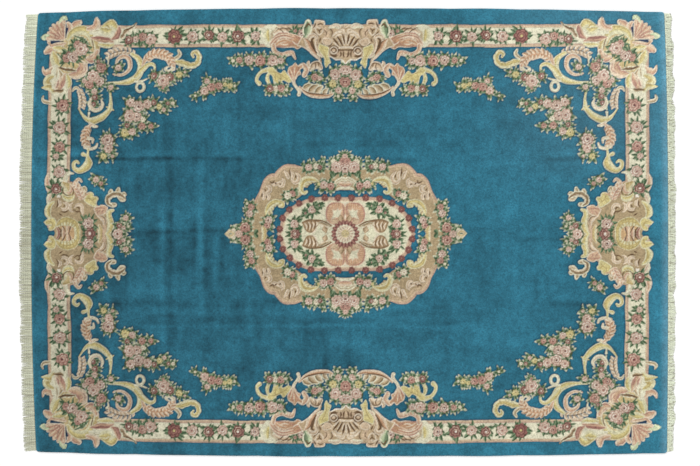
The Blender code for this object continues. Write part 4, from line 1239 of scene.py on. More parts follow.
@dataclass(frozen=True)
class Lay:
    """How the rug lies: its size, and how bowed it came off the loom."""

    half_length: float = 1.525
    half_width: float = 1.072
    band_across: float = 1.000
    lines_along: tuple[Line, ...] = (
        Line(-1.525, 0.001, 0.025, 0.034),
        Line(-1.438, -0.007, 0.011, 0.013),
        Line(0.0, -0.021, -0.0185, -0.0185),
        Line(1.438, -0.007, -0.017, -0.007),
        Line(1.525, 0.001, -0.004, -0.018),
    )
    lines_across: tuple[Line, ...] = (
        Line(-1.072, 0.000, 0.022, 0.015),
        Line(-1.000, -0.011, 0.019, 0.016),
        Line(0.0, -0.008, -0.006, -0.006),
        Line(1.000, -0.008, -0.014, -0.007),
        Line(1.072, 0.000, -0.024, -0.019),
    )
    ripples: tuple[tuple[float, float, float], ...] = ((0.0016, 0.92, 0.3), (0.0010, 0.47, 1.9))

    @staticmethod
    def moved(place: Array, lines: tuple[Line, ...], share: Array) -> Array:
        """Moves places by the shifts of the two lines that each lies between, in proportion."""
        found = place.copy()
        for index, (before, after) in enumerate(zip(lines, lines[1:])):
            low = -9.0 if index == 0 else before.place
            high = 9.0 if index == len(lines) - 2 else after.place
            weight = (place - before.place) / (after.place - before.place)
            shift = before.shift(share) * (1.0 - weight) + after.shift(share) * weight
            found = np.where((place >= low) & (place <= high), place + shift, found)
        return found

    def place(self, along: Array, across: Array) -> tuple[Array, Array]:
        """Where points of the straight design lie on the floor, in metres.

        Outside the band the long sides go slowly in and out as well, as a sum of sines.
        """
        x = self.moved(along, self.lines_along, across / self.half_width)
        y = self.moved(across, self.lines_across, along / self.half_length)
        outside = np.clip((np.abs(across) - self.band_across) / (self.half_width - self.band_across), 0, 1)
        wave = sum(size * np.sin(math.tau * along / run + start) for size, run, start in self.ripples)
        return x, y + np.copysign(outside * wave, across)


@dataclass
class Term:
    """A value in a shader, so that maths on it reads as an expression."""

    net: "Net"
    socket: bpy.types.NodeSocket

    def maths(self, operation: str, *others: Union["Term", float]) -> "Term":
        """Adds a Math node of this kind on the value and the others."""
        return self.net.node("ShaderNodeMath", {"operation": operation}, dict(enumerate((self, *others))))

    def __add__(self, other: Union["Term", float]) -> "Term":
        """Sum."""
        return self.maths("ADD", other)

    def __sub__(self, other: Union["Term", float]) -> "Term":
        """Difference."""
        return self.maths("SUBTRACT", other)

    def __rsub__(self, other: float) -> "Term":
        """A number less this value."""
        return (self * -1.0) + other

    def __mul__(self, other: Union["Term", float]) -> "Term":
        """Product."""
        return self.maths("MULTIPLY", other)

    def __truediv__(self, other: Union["Term", float]) -> "Term":
        """Quotient."""
        return self.maths("DIVIDE", other)

    __radd__ = __add__
    __rmul__ = __mul__

    def sine(self) -> "Term":
        """Sine of the value in radians."""
        return self.maths("SINE")

    def axis(self, letter: str) -> "Term":
        """One part, X, Y or Z, of a vector."""
        return self.net.node("ShaderNodeSeparateXYZ", {}, {0: self}, letter)


@dataclass
class Net:
    """The nodes of one material."""

    material: bpy.types.Material

    def node(
        self,
        kind: str,
        settings: dict[str, object],
        values: dict[Union[str, int], object],
        output: Union[str, int] = 0,
    ) -> Term:
        """Adds a node.

        Args:
            kind: Its type.
            settings: Its own properties, set first.
            values: What its sockets hold or are linked to, by name or number.
            output: The socket that is wanted from it.

        Returns:
            That socket.
        """
        made = self.material.node_tree.nodes.new(kind)
        for name, setting in settings.items():
            setattr(made, name, setting)
        for key, value in values.items():
            if isinstance(value, Term):
                self.material.node_tree.links.new(value.socket, made.inputs[key])
            else:
                made.inputs[key].default_value = value
        return Term(self, made.outputs[output])

    def noise(self, where: Term, scale: float, detail: float = 2.0) -> Term:
        """Noise about one half, at so many turns a metre."""
        return self.node("ShaderNodeTexNoise", {}, {"Vector": where, "Scale": scale, "Detail": detail})

    def mix(
        self,
        factor: Union[Term, float],
        low: Union[Term, Colour],
        high: Union[Term, Colour],
        way: str = "MIX",
    ) -> Term:
        """Mixes two colours."""
        settings = {"data_type": "RGBA", "blend_type": way}
        return self.node("ShaderNodeMix", settings, {0: factor, 6: low, 7: high}, 2)

    def shade(self, colour: Term, tone: Term) -> Term:
        """Multiplies a colour by a value."""
        grey = self.node("ShaderNodeCombineXYZ", {}, {0: tone, 1: tone, 2: tone})
        return self.mix(1.0, colour, grey, "MULTIPLY")


@dataclass(frozen=True)
class Finish:
    """What every finish of the rug is: a rough cloth with a soft sheen."""

    name: str = "cloth"
    roughness: float = 0.95
    gloss: float = 0.15
    sheen: float = 0.0
    sheen_roughness: float = 0.6
    relief: float = 0.0004

    def colour(self, net: Net, where: Term) -> Term:
        """The colour over the surface."""
        raise NotImplementedError

    def height(self, net: Net, where: Term) -> Term:
        """The fine relief, from 0 to 1."""
        raise NotImplementedError

    def made(self) -> bpy.types.Material:
        """Builds the material."""
        material = bpy.data.materials.new(self.name)
        material.use_nodes = True
        net = Net(material)
        shader = material.node_tree.nodes["Principled BSDF"]
        where = net.node("ShaderNodeTexCoord", {}, {}, "Object")
        relief = {"Strength": 1.0, "Distance": self.relief, "Height": self.height(net, where)}
        bump = net.node("ShaderNodeBump", {}, relief)
        links = material.node_tree.links
        links.new(self.colour(net, where).socket, shader.inputs["Base Color"])
        links.new(bump.socket, shader.inputs["Normal"])
        shader.inputs["Roughness"].default_value = self.roughness
        shader.inputs["Specular IOR Level"].default_value = self.gloss
        shader.inputs["Sheen Weight"].default_value = self.sheen
        shader.inputs["Sheen Roughness"].default_value = self.sheen_roughness
        return material


@dataclass(frozen=True)
class WoolPile(Finish):
    """Cut wool: the dye of each tuft, flecked, over the nap of tufts and rows."""

    name: str = "wool_pile"
    sheen: float = 0.08
    relief: float = 0.0016
    tuft: float = 190.0
    nap: float = 84.0
    flecked: float = 0.95
    brushed: float = 0.7

    def colour(self, net: Net, where: Term) -> Term:
        """The charted dye, darker and lighter from tuft to tuft and from one brushed patch to the next."""
        dye = net.node("ShaderNodeAttribute", {"attribute_name": "dye"}, {}, "Color")
        fleck = net.noise(where, self.tuft, 1.0) - 0.5
        brushed = net.noise(where, self.nap, 2.0) - 0.5
        return net.shade(dye, 1.0 + self.flecked * fleck + self.brushed * brushed)

    def height(self, net: Net, where: Term) -> Term:
        """Tufts on a slower unevenness of the nap."""
        return net.noise(where, 2.1 * self.tuft, 2.0) * 0.55 + net.noise(where, self.nap, 2.0) * 0.45


@dataclass(frozen=True)
class Warp(Finish):
    """Undyed cotton warp: cream, greyer from strand to strand, with the twist of its plies."""

    name: str = "cotton_warp"
    roughness: float = 0.9
    relief: float = 0.0007
    plies: float = 2.0
    pitch: float = 0.009
    fuzz: float = 900.0
    cloud: float = 260.0
    pale: Colour = (0.90, 0.95, 0.76, 1.0)
    grey: Colour = (0.44, 0.43, 0.32, 1.0)

    def twist(self, net: Net) -> Term:
        """The plies as a sine that winds round the strand once each pitch, from 0 to 1."""
        lie = net.node("ShaderNodeUVMap", {"uv_map": "lie"}, {})
        return 0.5 + 0.5 * ((lie.axis("X") * self.plies + lie.axis("Y") / self.pitch) * math.tau).sine()

    def colour(self, net: Net, where: Term) -> Term:
        """Cream with greyer strands, and painted shade in the furrows between the plies."""
        strand = net.node("ShaderNodeAttribute", {"attribute_name": "dye"}, {}, "Fac")
        base = net.mix(strand, self.grey, self.pale)
        # Painted shade: darker in the furrows between the plies, where the twist is low
        return net.shade(base, 0.88 + 0.12 * self.twist(net) + 0.16 * (net.noise(where, self.cloud) - 0.5))

    def height(self, net: Net, where: Term) -> Term:
        """The plies, with some fuzz."""
        return self.twist(net) * 0.7 + net.noise(where, self.fuzz) * 0.3


@dataclass(frozen=True)
class Weave(Finish):
    """Plain weave: warp and weft cross as the product of two sines."""

    name: str = "ground_weave"
    roughness: float = 0.95
    relief: float = 0.0009
    threads: float = 420.0
    yarn: Colour = (0.50, 0.52, 0.38, 1.0)
    # Painted shade in the gaps between the threads
    gap: Colour = (0.22, 0.24, 0.18, 1.0)

    def height(self, net: Net, where: Term) -> Term:
        """The crossing threads from 0 to 1."""
        weft = (where.axis("X") * (math.tau * self.threads)).sine()
        warp = (where.axis("Y") * (math.pi * self.threads)).sine()
        return 0.5 + 0.5 * weft * warp

    def colour(self, net: Net, where: Term) -> Term:
        """Pale on the threads and darker with painted shade in the gaps, uneven over a hand's breadth."""
        base = net.mix(0.25 + 0.75 * self.height(net, where), self.gap, self.yarn)
        return net.shade(base, 0.8 + 0.4 * net.noise(where, 12.0, 3.0))


def grid_faces(rows: int, columns: int) -> Array:
    """Corner numbers of the quads between the points of a grid, row after row, facing up."""
    corner = (np.arange(rows - 1)[:, None] * columns + np.arange(columns - 1)).ravel()
    return np.stack([corner, corner + 1, corner + columns + 1, corner + columns], axis=1)


def meshed(name: str, places: Array, faces: Array) -> bpy.types.Object:
    """Puts points and faces with equal numbers of corners into an object at the origin.

    Args:
        name: The piece's name.
        places: One row of x, y and z to a point.
        faces: One row of corner numbers to a face.

    Returns:
        The object, smoothly shaded.
    """
    mesh = bpy.data.meshes.new(name)
    mesh.vertices.add(len(places))
    mesh.vertices.foreach_set("co", places.astype(np.float32).ravel())
    mesh.loops.add(faces.size)
    mesh.loops.foreach_set("vertex_index", faces.astype(np.int32).ravel())
    mesh.polygons.add(len(faces))
    mesh.polygons.foreach_set("loop_start", np.arange(0, faces.size, faces.shape[1], dtype=np.int32))
    mesh.update(calc_edges=True)
    mesh.shade_smooth()
    made = bpy.data.objects.new(name, mesh)
    bpy.context.scene.collection.objects.link(made)
    return made


def paint(piece: bpy.types.Object, dye: Array) -> None:
    """Stores a linear colour at each point as the attribute that the finishes read."""
    store = piece.data.color_attributes.new("dye", "FLOAT_COLOR", "POINT")
    rgba = np.ones((len(dye), 4), np.float32)
    rgba[:, :3] = dye
    store.data.foreach_set("color", rgba.ravel())


def unwrap(piece: bpy.types.Object, name: str, places: Array) -> None:
    """Gives the piece a UV map, with one row of two numbers to a point."""
    corners = np.empty(len(piece.data.loops), np.int32)
    piece.data.loops.foreach_get("vertex_index", corners)
    layer = piece.data.uv_layers.new(name=name)
    layer.data.foreach_set("uv", places[corners].astype(np.float32).ravel())


def dress(piece: bpy.types.Object, finish: bpy.types.Material, nodes: Sequence[str]) -> None:
    """Gives a piece its finish and its place in the frame, and takes the CAD nodes' place with it."""
    piece.data.materials.append(finish)
    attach(piece, "root")
    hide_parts(*nodes)
    LOG.info("%s: %d faces", piece.name, len(piece.data.polygons))


def steps(marks: Sequence[tuple[float, float]], end: float) -> Array:
    """Grid lines over a run.

    Args:
        marks: Each a place in squares, and the step between lines from there to the next mark.
        end: Where the run ends.

    Returns:
        The lines, evenly spaced in each stretch.
    """
    lines = [marks[0][0]]
    for (low, step), high in zip(marks, [*(mark for mark, _ in marks[1:]), end]):
        count = max(1, math.ceil((high - low) / step - 1e-6))
        lines += [low + (high - low) * k / count for k in range(1, count + 1)]
    return np.array(lines)


@dataclass(frozen=True)
class Crease:
    """A line where the rug was folded or the nap was brushed over: pressed in, and painted dark with shade,
    with a painted highlight on one side.

    Attributes:
        along: Whether it runs along the rug.
        place: Where it crosses, in squares.
        low: Where it starts.
        high: Where it ends.
        strength: How much darker its painted shade is than the pile beside it, negative where it is painted
            paler.
        width: How wide it is.
    """

    along: bool
    place: float
    low: float
    high: float
    strength: float
    width: float = 1.5

    def shade_and_press(self, u: Array, v: Array) -> Array:
        """How strongly it shows, as painted shade and pressed depth: a bell across it, a paler bell of
        painted highlight beside it, and soft ends.
        """
        run, off = (u, v) if self.along else (v, u)
        off = off - self.place - 2.2 * lattice(run, off * 0.0 + self.place, 46.0, 1.0, 31)
        fade = ease(run, self.low - 9.0, self.low + 9.0) * ease(-run, -self.high - 9.0, 9.0 - self.high)
        uneven = 0.7 + 0.5 * lattice(run, off * 0.0, 15.0, 1.0, 32)
        # Painted shade along the line, and a painted highlight as the paler bell beside it
        dark = np.exp(-((off / self.width) ** 2))
        pale = 0.55 * np.exp(-(((off - 2.6 * self.width) / (1.7 * self.width)) ** 2))
        return self.strength * fade * uneven * (dark - pale)


@dataclass
class Pile:
    """The cut pile: a height field in strips, each with grid lines as close as its pattern needs.

    Attributes:
        top: Height of the pile.
        rim_drop: How much lower it is at the rim.
        roll: How far in from the rim it rolls over.
        foot: Height at which the skirt round the rim ends.
        skirt: How far beyond the rim the skirt lies in the wool's unwrapped picture, in squares.
        corner: Radius of the rug's corners.
        pressed: Depth of the deepest crease.
        fine: Step between grid lines in ornament, in squares.
        plain: The same in plain blue.
        waves: Slow waves of the top: a height, and its turns along and across, in radians a metre.
        roll_lines: Grid lines where the pile rolls over, in squares from the rim.
        creases: Where the rug was folded or brushed, pressed in and painted with shade and highlight.
    """

    lay: Lay
    chart: Chart
    top: float = 0.014
    rim_drop: float = 0.0055
    roll: float = 0.014
    foot: float = 0.0006
    skirt: float = 1.6
    corner: float = 0.014
    pressed: float = 0.0018
    fine: float = 0.75
    plain: float = 2.0
    waves: tuple[tuple[float, float, float], ...] = ((0.0006, 4.1, 5.3), (0.0004, -2.3, 6.7))
    roll_lines: tuple[float, ...] = (0.0, 0.2, 0.55, 1.0, 1.6, 2.4, 3.4)
    creases: tuple[Crease, ...] = tuple(Crease(*row) for row in (
        (True, 74, -312, -80, 0.38, 1.9), (True, 74, 22, 70, 0.32, 2), (True, 74, 122, 146, 0.2, 2),
        (True, 75, 196, 238, 0.36, 2.2), (True, 1, -215, -118, 0.32, 2.4),
        (True, 4, 120, 180, 0.18, 2), (True, -5, 178, 222, 0.26, 2.2),
        (True, -72, -312, -104, 0.3, 4.6), (True, -67, -100, -64, 0.3, 2.6),
        (True, -84, -200, -60, 0.2, 2.4), (True, -92.5, -212, 140, -0.24, 1.5),
        (True, -78, 34, 74, 0.32, 3), (True, -70, 194, 246, 0.3, 2.4),
        (False, -184.5, -118, 74, -0.3, 2.5), (False, -174, -84, 72, 0.15, 2.2),
        (False, -185, 78, 128, -0.18, 3), (False, -153, -60, 72, 0.22, 1.8),
        (False, -146, -84, 72, -0.32, 2.8), (False, -146, 80, 140, -0.16, 3),
        (False, -130, -62, 0, -0.26, 2.4), (False, -109, 60, 128, -0.22, 2),
        (False, -100, -40, 60, 0.2, 2.2), (False, -57, 80, 136, -0.14, 2.4),
        (False, -8, 80, 132, -0.12, 2.4), (False, -21, -136, -96, 0.3, 2.8),
        (False, 4, -136, -98, 0.3, 3.2), (False, 92, -130, -100, -0.2, 3),
        (False, 168, -58, -10, -0.2, 2.4), (False, 190, -70, -40, 0.22, 2.4),
        (False, 150, -40, 60, 0.1, 4),
    ))

    def rim(self, half: float) -> Array:
        """Grid lines from the pattern's outer edge to the rim, closer where the pile rolls over."""
        return half / SQUARE - np.array(self.roll_lines[::-1])

    def height(self, inset: Array, along: Array, across: Array) -> Array:
        """Height before clipping: a quarter-round roll at the rim, and slow waves inside it."""
        share = np.clip(inset / self.roll, 0.0, 1.0)
        rolled = self.top - self.rim_drop * (1.0 - np.sqrt(1.0 - (1.0 - share) ** 2))
        calm = np.clip((inset - self.roll) / 0.13, 0.0, 1.0)
        wave = sum(size * np.sin(a * along + b * across) for size, a, b in self.waves)
        return rolled + wave * calm

    def tone(self, u: Array, v: Array) -> Array:
        """How light the wool looks: painted sheen lighter towards the east, lighter at the rim, uneven
        streaks, and the creases' painted shade.
        """
        # Painted sheen: lighter towards the east, and a little towards the north
        painted_sheen = 0.16 * np.tanh((u + 15.0) / 110.0) + 0.04 * np.tanh(v / 120.0)
        patches = 0.17 * lattice(u, v, 34.0, 26.0, 5) + 0.14 * lattice(u, v, 11.0, 9.0, 6)
        west = 1.0 - 0.6 * ease(u, -120.0, 60.0)
        streaks = west * (0.13 * lattice(u, v, 8.0, 52.0, 7) + 0.08 * lattice(u, v, 3.2, 24.0, 9))
        level = 0.07 * lattice(u, v, 90.0, 5.0, 8) + 0.13 * lattice(u, v, 4.0, 4.5, 10)
        level += 0.08 * lattice(u, v, 2.2, 2.2, 11)
        rim = np.maximum(np.abs(u) - 304.0, np.abs(v) - 211.0)
        # Lighter at the rim
        wear_and_sheen = (0.13 + 0.16 * lattice(u, v, 17.0, 17.0, 16)) * ease(rim, -4.0, 4.0)
        east = 0.22 * ease(u, 296.0, 312.0) + 0.25 * ease(np.abs(u), 314.5, 318.0)
        # The creases' painted shade and painted highlights
        creases = sum(crease.shade_and_press(u, v) for crease in self.creases)
        return 1.02 + painted_sheen + patches + streaks + level + wear_and_sheen + east - creases

    def strip(self, name: str, columns: Array, rows: Array) -> bpy.types.Object:
        """Makes one strip of the pile.

        Each grid point reads the chart where it lies, a little off its place, as hand knotting
        does. Points on the rim stand on a skirt that goes down to the floor, and the corner is
        rounded: in its square, (a, b) goes to (a sqrt(1 - b b / 2), b sqrt(1 - a a / 2)).

        Args:
            name: The piece's name.
            columns: Grid lines along the rug, in squares.
            rows: Grid lines across it.

        Returns:
            The strip.
        """
        limit = (self.lay.half_length / SQUARE, self.lay.half_width / SQUARE)
        skirts = []
        for lines, half in ((columns, limit[0]), (rows, limit[1])):
            low = [-half - self.skirt] if lines[0] < 1e-6 - half else []
            high = [half + self.skirt] if lines[-1] > half - 1e-6 else []
            skirts.append(np.array([*low, *lines, *high]))
        flat_u, flat_v = np.meshgrid(*skirts)
        hem = (np.abs(flat_u) > limit[0] + 0.1) | (np.abs(flat_v) > limit[1] + 0.1)
        u = np.clip(flat_u, -limit[0], limit[0])
        v = np.clip(flat_v, -limit[1], limit[1])
        along = u * SQUARE
        across = v * SQUARE
        a = np.clip((np.abs(along) - self.lay.half_length) / self.corner + 1.0, 0.0, 1.0)
        b = np.clip((np.abs(across) - self.lay.half_width) / self.corner + 1.0, 0.0, 1.0)
        inset = np.minimum(self.lay.half_length - np.abs(along), self.lay.half_width - np.abs(across))
        along = along - np.copysign(self.corner * a * (1.0 - np.sqrt(1.0 - b * b / 2)), along)
        across = across - np.copysign(self.corner * b * (1.0 - np.sqrt(1.0 - a * a / 2)), across)
        sunk = self.pressed * sum(np.abs(crease.shade_and_press(u, v)) for crease in self.creases)
        read_u = u + 0.55 * lattice(u, v, 23.0, 19.0, 11) + 0.22 * lattice(u, v, 5.0, 5.0, 12)
        read_v = v + 0.55 * lattice(u, v, 21.0, 24.0, 13) + 0.22 * lattice(u, v, 5.0, 5.0, 14)
        dye, depth, figure = self.chart.read(read_u, read_v)
        uneven = 0.0004 * lattice(u, v, 2.3, 2.3, 15)
        height = self.height(inset, along, across) - depth - sunk + uneven
        x, y = self.lay.place(along, across)
        z = np.where(hem, self.foot, height)
        piece = meshed(name, np.stack([x, y, z], axis=-1).reshape(-1, 3), grid_faces(*u.shape))
        tone = 1.0 + (self.tone(u, v) - 1.0) * (1.0 - 0.6 * figure)
        # Painted shade: darker towards the south-west, and the ornament darker towards the west; the outer
        # field is painted lighter towards the north
        painted_shade_south_west = 0.10 * ease(-u, 60.0, 220.0) * ease(-v, -40.0, 100.0)
        tone *= 1.0 - painted_shade_south_west - 0.06 * ease(-u, 120.0, 280.0) * figure
        north = 0.06 + 0.04 * ease(u, 0.0, 200.0)
        tone *= 1.0 + north * ease(v, 70.0, 150.0) * ease(np.abs(u), 110.0, 200.0)
        # Lighter at the east end, and painted sheen lighter towards the north-east
        wear_and_sheen = 0.055 * ease(u, 310.0, 317.0) + 0.020 * ease(u, 100.0, 260.0) * ease(v, 20.0, 120.0)
        paint(piece, (dye * tone[..., None] + wear_and_sheen[..., None]).reshape(-1, 3))
        spread = np.stack([flat_u, flat_v], axis=-1).reshape(-1, 2)
        unwrap(piece, "OFBake", (spread - spread.min(axis=0)) / np.ptp(spread, axis=0))
        return piece

    def build(self) -> list[bpy.types.Object]:
        """Makes all the strips: the borders, the two rows of sprays, and the middle in two halves."""
        end = self.rim(self.lay.half_length)
        side = self.rim(self.lay.half_width)
        fine, plain = self.fine, self.plain

        def columns(*marks: tuple[float, float]) -> Array:
            """Mirrored grid lines along the whole rug, plain outside the band."""
            half = steps([*marks, (312.0, plain)], end[0])
            half = np.concatenate([half, end[1:]])
            return np.concatenate([-half[:0:-1], half])

        dense = columns((0.0, fine))
        border = np.concatenate([steps([(172.5, fine), (214.5, 1.4)], side[0]), side[1:]])
        sprays = steps([(129.0, fine)], 172.5)
        beside = steps([(84.0, fine)], 129.0)
        middle = steps([(-84.0, fine)], 84.0)
        open_field = columns((0.0, plain), (166.0, fine))
        crossed = columns((0.0, fine), (124.0, plain), (216.0, fine))
        half = len(crossed) // 2
        return [
            self.strip("pile_north_border", dense, border),
            self.strip("pile_north_sprays", dense, sprays),
            self.strip("pile_north_field", open_field, beside),
            self.strip("pile_middle_west", crossed[: half + 1], middle),
            self.strip("pile_middle_east", crossed[half:], middle),
            self.strip("pile_south_field", open_field, -beside[::-1]),
            self.strip("pile_south_sprays", dense, -sprays[::-1]),
            self.strip("pile_south_border", dense, -border[::-1]),
        ]


@dataclass
class GroundCloth:
    """The woven cloth that the pile is knotted on: a thin closed slab under all of it."""

    lay: Lay
    thickness: float = 0.003
    inset: float = 0.003

    def build(self) -> bpy.types.Object:
        """Makes a grid for the top and one for the underside, joined round the rim."""
        along = np.linspace(-1.0, 1.0, 61) * (self.lay.half_length - self.inset)
        across = np.linspace(-1.0, 1.0, 43) * (self.lay.half_width - self.inset)
        x, y = self.lay.place(*np.meshgrid(along, across))
        rows, columns = x.shape
        heights = (np.full(x.shape, z) for z in (self.thickness, 0.0))
        levels = [np.stack([x, y, z], axis=-1).reshape(-1, 3) for z in heights]
        top = grid_faces(rows, columns)
        count = rows * columns
        number = np.arange(count).reshape(rows, columns)
        rim = np.concatenate([number[0, :-1], number[:-1, -1], number[-1, :0:-1], number[:0:-1, 0]])
        after = np.roll(rim, -1)
        wall = np.stack([rim, rim + count, after + count, after], axis=1)
        piece = meshed("ground_cloth", np.vstack(levels), np.vstack([top, top[:, ::-1] + count, wall]))
        piece.data.set_sharp_from_angle(angle=math.radians(40))
        return piece


@dataclass
class Fringe:
    """One fringed end: the woven strip, and the warp that hangs from it in twisted strands.

    Attributes:
        side: -1 at the west end, 1 at the east end.
        length: How far the strands reach beyond the strip.
        lean: How far the strands at the corners lean sideways.
        seed: For the strands' unevenness.
        level: How pale the strands are at the south corner, in the middle and at the north corner.
        ragged: How much the strands' length wanders along the edge.
        shade_flecks: The share of spots along the strands that are painted dark, as shade where knots and
            curls of the warp shade them.
        alike: Strands side by side that are as long and sway alike.
    """

    lay: Lay
    side: int
    length: float
    lean: float
    seed: int
    level: tuple[float, float, float]
    ragged: float = 0.004
    shade_flecks: float = 0.0
    strands: int = 600
    radius: float = 0.0019
    strip: float = 0.008
    thickness: float = 0.003
    inset: float = 0.008
    sides: int = 4
    alike: int = 4

    def beyond(self, outward: Array, across: Array) -> tuple[Array, Array]:
        """Places beyond the end of the pile, this far out from its edge."""
        x, y = self.lay.place(np.full(across.shape, self.side * self.lay.half_length), across)
        return x + self.side * outward, y

    def paleness(self, across: Array) -> Array:
        """How pale the warp is at these places across the rug, from 0 to 1."""
        return np.interp(across / self.lay.half_width, (-1.0, 0.0, 1.0), self.level)

    def woven_end(self, name: str) -> bpy.types.Object:
        """The strip: a rounded section, an ellipse squared at its sides, carried across the rug."""
        across = np.linspace(-1.0, 1.0, 121)[:, None] * (self.lay.half_width - self.inset)
        turn = np.linspace(0.0, math.tau, 13)[:-1]
        out = np.copysign(np.abs(np.cos(turn)) ** 0.6, np.cos(turn)) * self.strip / 2
        up = np.copysign(np.abs(np.sin(turn)) ** 0.8, np.sin(turn)) * self.thickness / 2
        outward = self.strip / 2 - 0.001 + out[None, :] * np.ones(across.shape)
        x, y = self.beyond(outward, across * np.ones(len(turn)))
        z = np.broadcast_to(self.thickness / 2 + up, x.shape)
        places = np.stack([x, y, z], axis=-1)
        piece = meshed(name, *self.closed(places[None]))
        tone = self.paleness(np.repeat(across.ravel(), len(turn))) + 0.1
        paint(piece, np.concatenate([tone, tone[:1], tone[-1:]])[:, None] * np.ones(3))
        lie = np.stack([np.tile(turn / math.tau, len(across)), np.repeat(across.ravel(), len(turn))], axis=1)
        unwrap(piece, "lie", np.vstack([lie, lie[:1], lie[-1:]]))
        return piece

    @staticmethod
    def closed(places: Array) -> tuple[Array, Array]:
        """Closes tubes of equal size.

        Args:
            places: Points by tube, section and side.

        Returns:
            The points with the middle of each tube's two ends added last, and the triangles.
        """
        tubes, sections, sides = places.shape[:3]
        middles = places[:, [0, -1]].mean(axis=2).reshape(-1, 3)
        number = np.arange(tubes * sections * sides).reshape(tubes, sections, sides)
        turned = np.roll(number, -1, axis=2)
        near, far, near_turned, far_turned = number[:, :-1], number[:, 1:], turned[:, :-1], turned[:, 1:]
        poles = (tubes * sections * sides + np.arange(2 * tubes)).reshape(tubes, 2, 1)
        foot, tip = (np.broadcast_to(poles[:, k], (tubes, sides)) for k in (0, 1))
        corners = (
            (near, near_turned, far_turned), (near, far_turned, far),
            (number[:, 0], foot, turned[:, 0]), (number[:, -1], turned[:, -1], tip),
        )
        faces = np.vstack([np.stack(three, axis=-1).reshape(-1, 3) for three in corners])
        return np.vstack([places.reshape(-1, 3), middles]), faces

    def hanging_warp(self, name: str) -> bpy.types.Object:
        """The strands: each a tapering tube that starts under the pile's edge and wanders a little.

        A strand runs over the strip, sinks to the floor just beyond it, and sways as the square of
        the share along it. A few strands at a time are alike.
        """
        chance = np.random.default_rng(self.seed)
        count = self.strands
        share = np.array([0.0, 0.12, 0.2, 0.28, 0.5, 0.75, 0.94, 1.0])
        spread = np.linspace(-1.0, 1.0, count) * (self.lay.half_width - self.inset)
        spread = spread + chance.uniform(-0.25, 0.25, count) * (spread[1] - spread[0])
        short = 0.06 * chance.random(count)
        reach = self.length * (1.0 - short - 0.05 * np.repeat(chance.random(count), self.alike)[:count])
        reach = reach + self.ragged * lattice(spread / SQUARE, 0.0 * spread, 9.0, 1.0, self.seed)
        clump = np.repeat(chance.normal(0.0, 0.0014, count), self.alike)[:count]
        sway = clump + chance.normal(0.0, 0.0009, count)
        sway += self.lean * np.abs(spread / self.lay.half_width) ** 6
        wander = chance.normal(0.0, 0.0006, (count, len(share)))
        out = (self.strip + reach[:, None]) * share - 0.002
        x, y = self.beyond(out, spread[:, None] * np.ones(len(share)))
        y = y + sway[:, None] * share**2 * (self.length / 0.05) + wander * share
        knot = 1.0 + 0.2 * np.exp(-(((share - 0.2) / 0.05) ** 2))
        radius = self.radius * knot * (1.0 - 0.6 * share**8) * chance.uniform(0.85, 1.15, (count, 1))
        lift = chance.uniform(0.0, 0.0022, (count, 1)) * np.exp(-(((share - 0.55) / 0.3) ** 2))
        z = radius + lift + 0.9 * self.thickness * (1.0 - ease(out, 0.6 * self.strip, 1.6 * self.strip))
        turn = np.linspace(0.0, math.tau, self.sides, endpoint=False)
        turned = turn * -self.side
        places = np.stack([
            np.broadcast_to(x[..., None], (*x.shape, self.sides)),
            y[..., None] + radius[..., None] * np.cos(turned),
            z[..., None] + radius[..., None] * np.sin(turned),
        ], axis=-1)
        piece = meshed(name, *self.closed(places))
        tone = (self.paleness(spread) + chance.normal(0.0, 0.11, count))[:, None] * np.ones(len(share))
        # Painted shade: dark spots along the strands, where knots and curls of the warp would shade them
        tone = np.clip(tone - 1.3 * (chance.random(tone.shape) < self.shade_flecks), 0.0, 1.0)
        dye = np.concatenate([np.repeat(tone.ravel(), self.sides), tone[:, [0, -1]].ravel()])
        paint(piece, dye[:, None] * np.ones(3))
        along = out[..., None] * np.ones(self.sides)
        lie = np.stack([np.broadcast_to(turn / math.tau, along.shape), along], axis=-1).reshape(-1, 2)
        unwrap(piece, "lie", np.vstack([lie, np.zeros((2 * count, 2))]))
        return piece


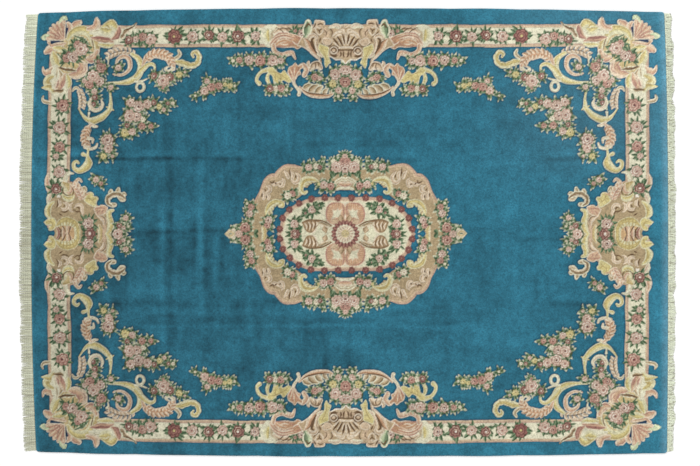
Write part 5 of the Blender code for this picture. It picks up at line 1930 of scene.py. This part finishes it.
@dataclass
class Studio:
    """A pale floor, broad soft lights, and a camera straight above the rug.

    Attributes:
        height: Of the camera above the floor.
        seen: Width that the camera takes in at the top of the pile.
        middle: Where it stands.
        window: Strength of the light, which is window_angle wide, tilted and turned from straight down.
        room: Strength of the pale room round it.
    """

    height: float = 6.0
    seen: float = 3.3495
    middle: tuple[float, float] = (0.0024, -0.0038)
    sensor: float = 36.0
    pile_top: float = 0.014
    floor_half: float = 20.0
    floor_gap: float = 0.0005
    window: float = 2.1
    window_angle: float = 50.0
    window_tilt: float = 24.0
    window_turn: float = -140.0
    room: float = 0.56
    pale: Colour = (0.9, 0.9, 0.9, 1.0)

    def floor(self) -> None:
        """A plain matt floor just below the rug."""
        edge = self.floor_half
        corners = ((-edge, -edge), (edge, -edge), (edge, edge), (-edge, edge))
        places = np.array([(x, y, -self.floor_gap) for x, y in corners])
        piece = meshed("floor", places, np.array([[0, 1, 2, 3]]))
        material = bpy.data.materials.new("pale_floor")
        material.use_nodes = True
        shader = material.node_tree.nodes["Principled BSDF"]
        shader.inputs["Base Color"].default_value = self.pale
        shader.inputs["Roughness"].default_value = 0.9
        shader.inputs["Specular IOR Level"].default_value = 0.1
        piece.data.materials.append(material)

    def light(self) -> None:
        """One broad light from the north-west, as wide as a window wall, and a pale room."""
        data = bpy.data.lights.new("window", "SUN")
        data.energy = self.window
        data.angle = math.radians(self.window_angle)
        made = bpy.data.objects.new("window", data)
        made.location = (-3.0, 3.0, 5.0)
        made.rotation_euler = (math.radians(self.window_tilt), 0.0, math.radians(self.window_turn))
        bpy.context.scene.collection.objects.link(made)
        world = bpy.data.worlds.new("room")
        world.use_nodes = True
        world.node_tree.nodes["Background"].inputs["Color"].default_value = (1.0, 1.0, 1.0, 1.0)
        world.node_tree.nodes["Background"].inputs["Strength"].default_value = self.room
        bpy.context.scene.world = world
        bpy.context.scene.view_settings.view_transform = "Standard"

    def camera(self) -> None:
        """The camera, with a lens that takes in this width at the top of the pile."""
        data = bpy.data.cameras.new("camera")
        data.sensor_width = self.sensor
        data.lens = self.sensor * (self.height - self.pile_top) / self.seen
        made = bpy.data.objects.new("camera", data)
        made.location = (*self.middle, self.height)
        bpy.context.scene.collection.objects.link(made)
        bpy.context.scene.camera = made

    def build(self) -> None:
        """Sets up floor, light and camera."""
        self.floor()
        self.light()
        self.camera()
        LOG.info("studio: floor, window, room light and camera")


def main() -> None:
    """Builds the rug's pieces in order, dresses them, and sets up the studio."""
    logging.basicConfig(level=logging.INFO, format="%(name)s: %(message)s")
    lay = Lay()
    wool = WoolPile().made()
    warp = Warp().made()
    strips = Pile(lay, painted_chart()).build()
    for strip in strips:
        dress(strip, wool, ["rug_pile"])
    for end, fringe in (
        ("west", Fringe(lay, -1, 0.056, -0.004, 11, (0.30, 0.25, 0.66))),
        ("east", Fringe(lay, 1, 0.032, 0.002, 23, (1.0, 0.84, 1.0), ragged=0.007, shade_flecks=0.13)),
    ):
        for piece in (fringe.woven_end(f"woven_end_{end}"), fringe.hanging_warp(f"warp_strands_{end}")):
            dress(piece, warp, [f"fringe_{end}"])
    cloth = GroundCloth(lay).build()
    dress(cloth, Weave().made(), ["rug_pile"])
    Studio().build()


if __name__ == "__main__":
    main()
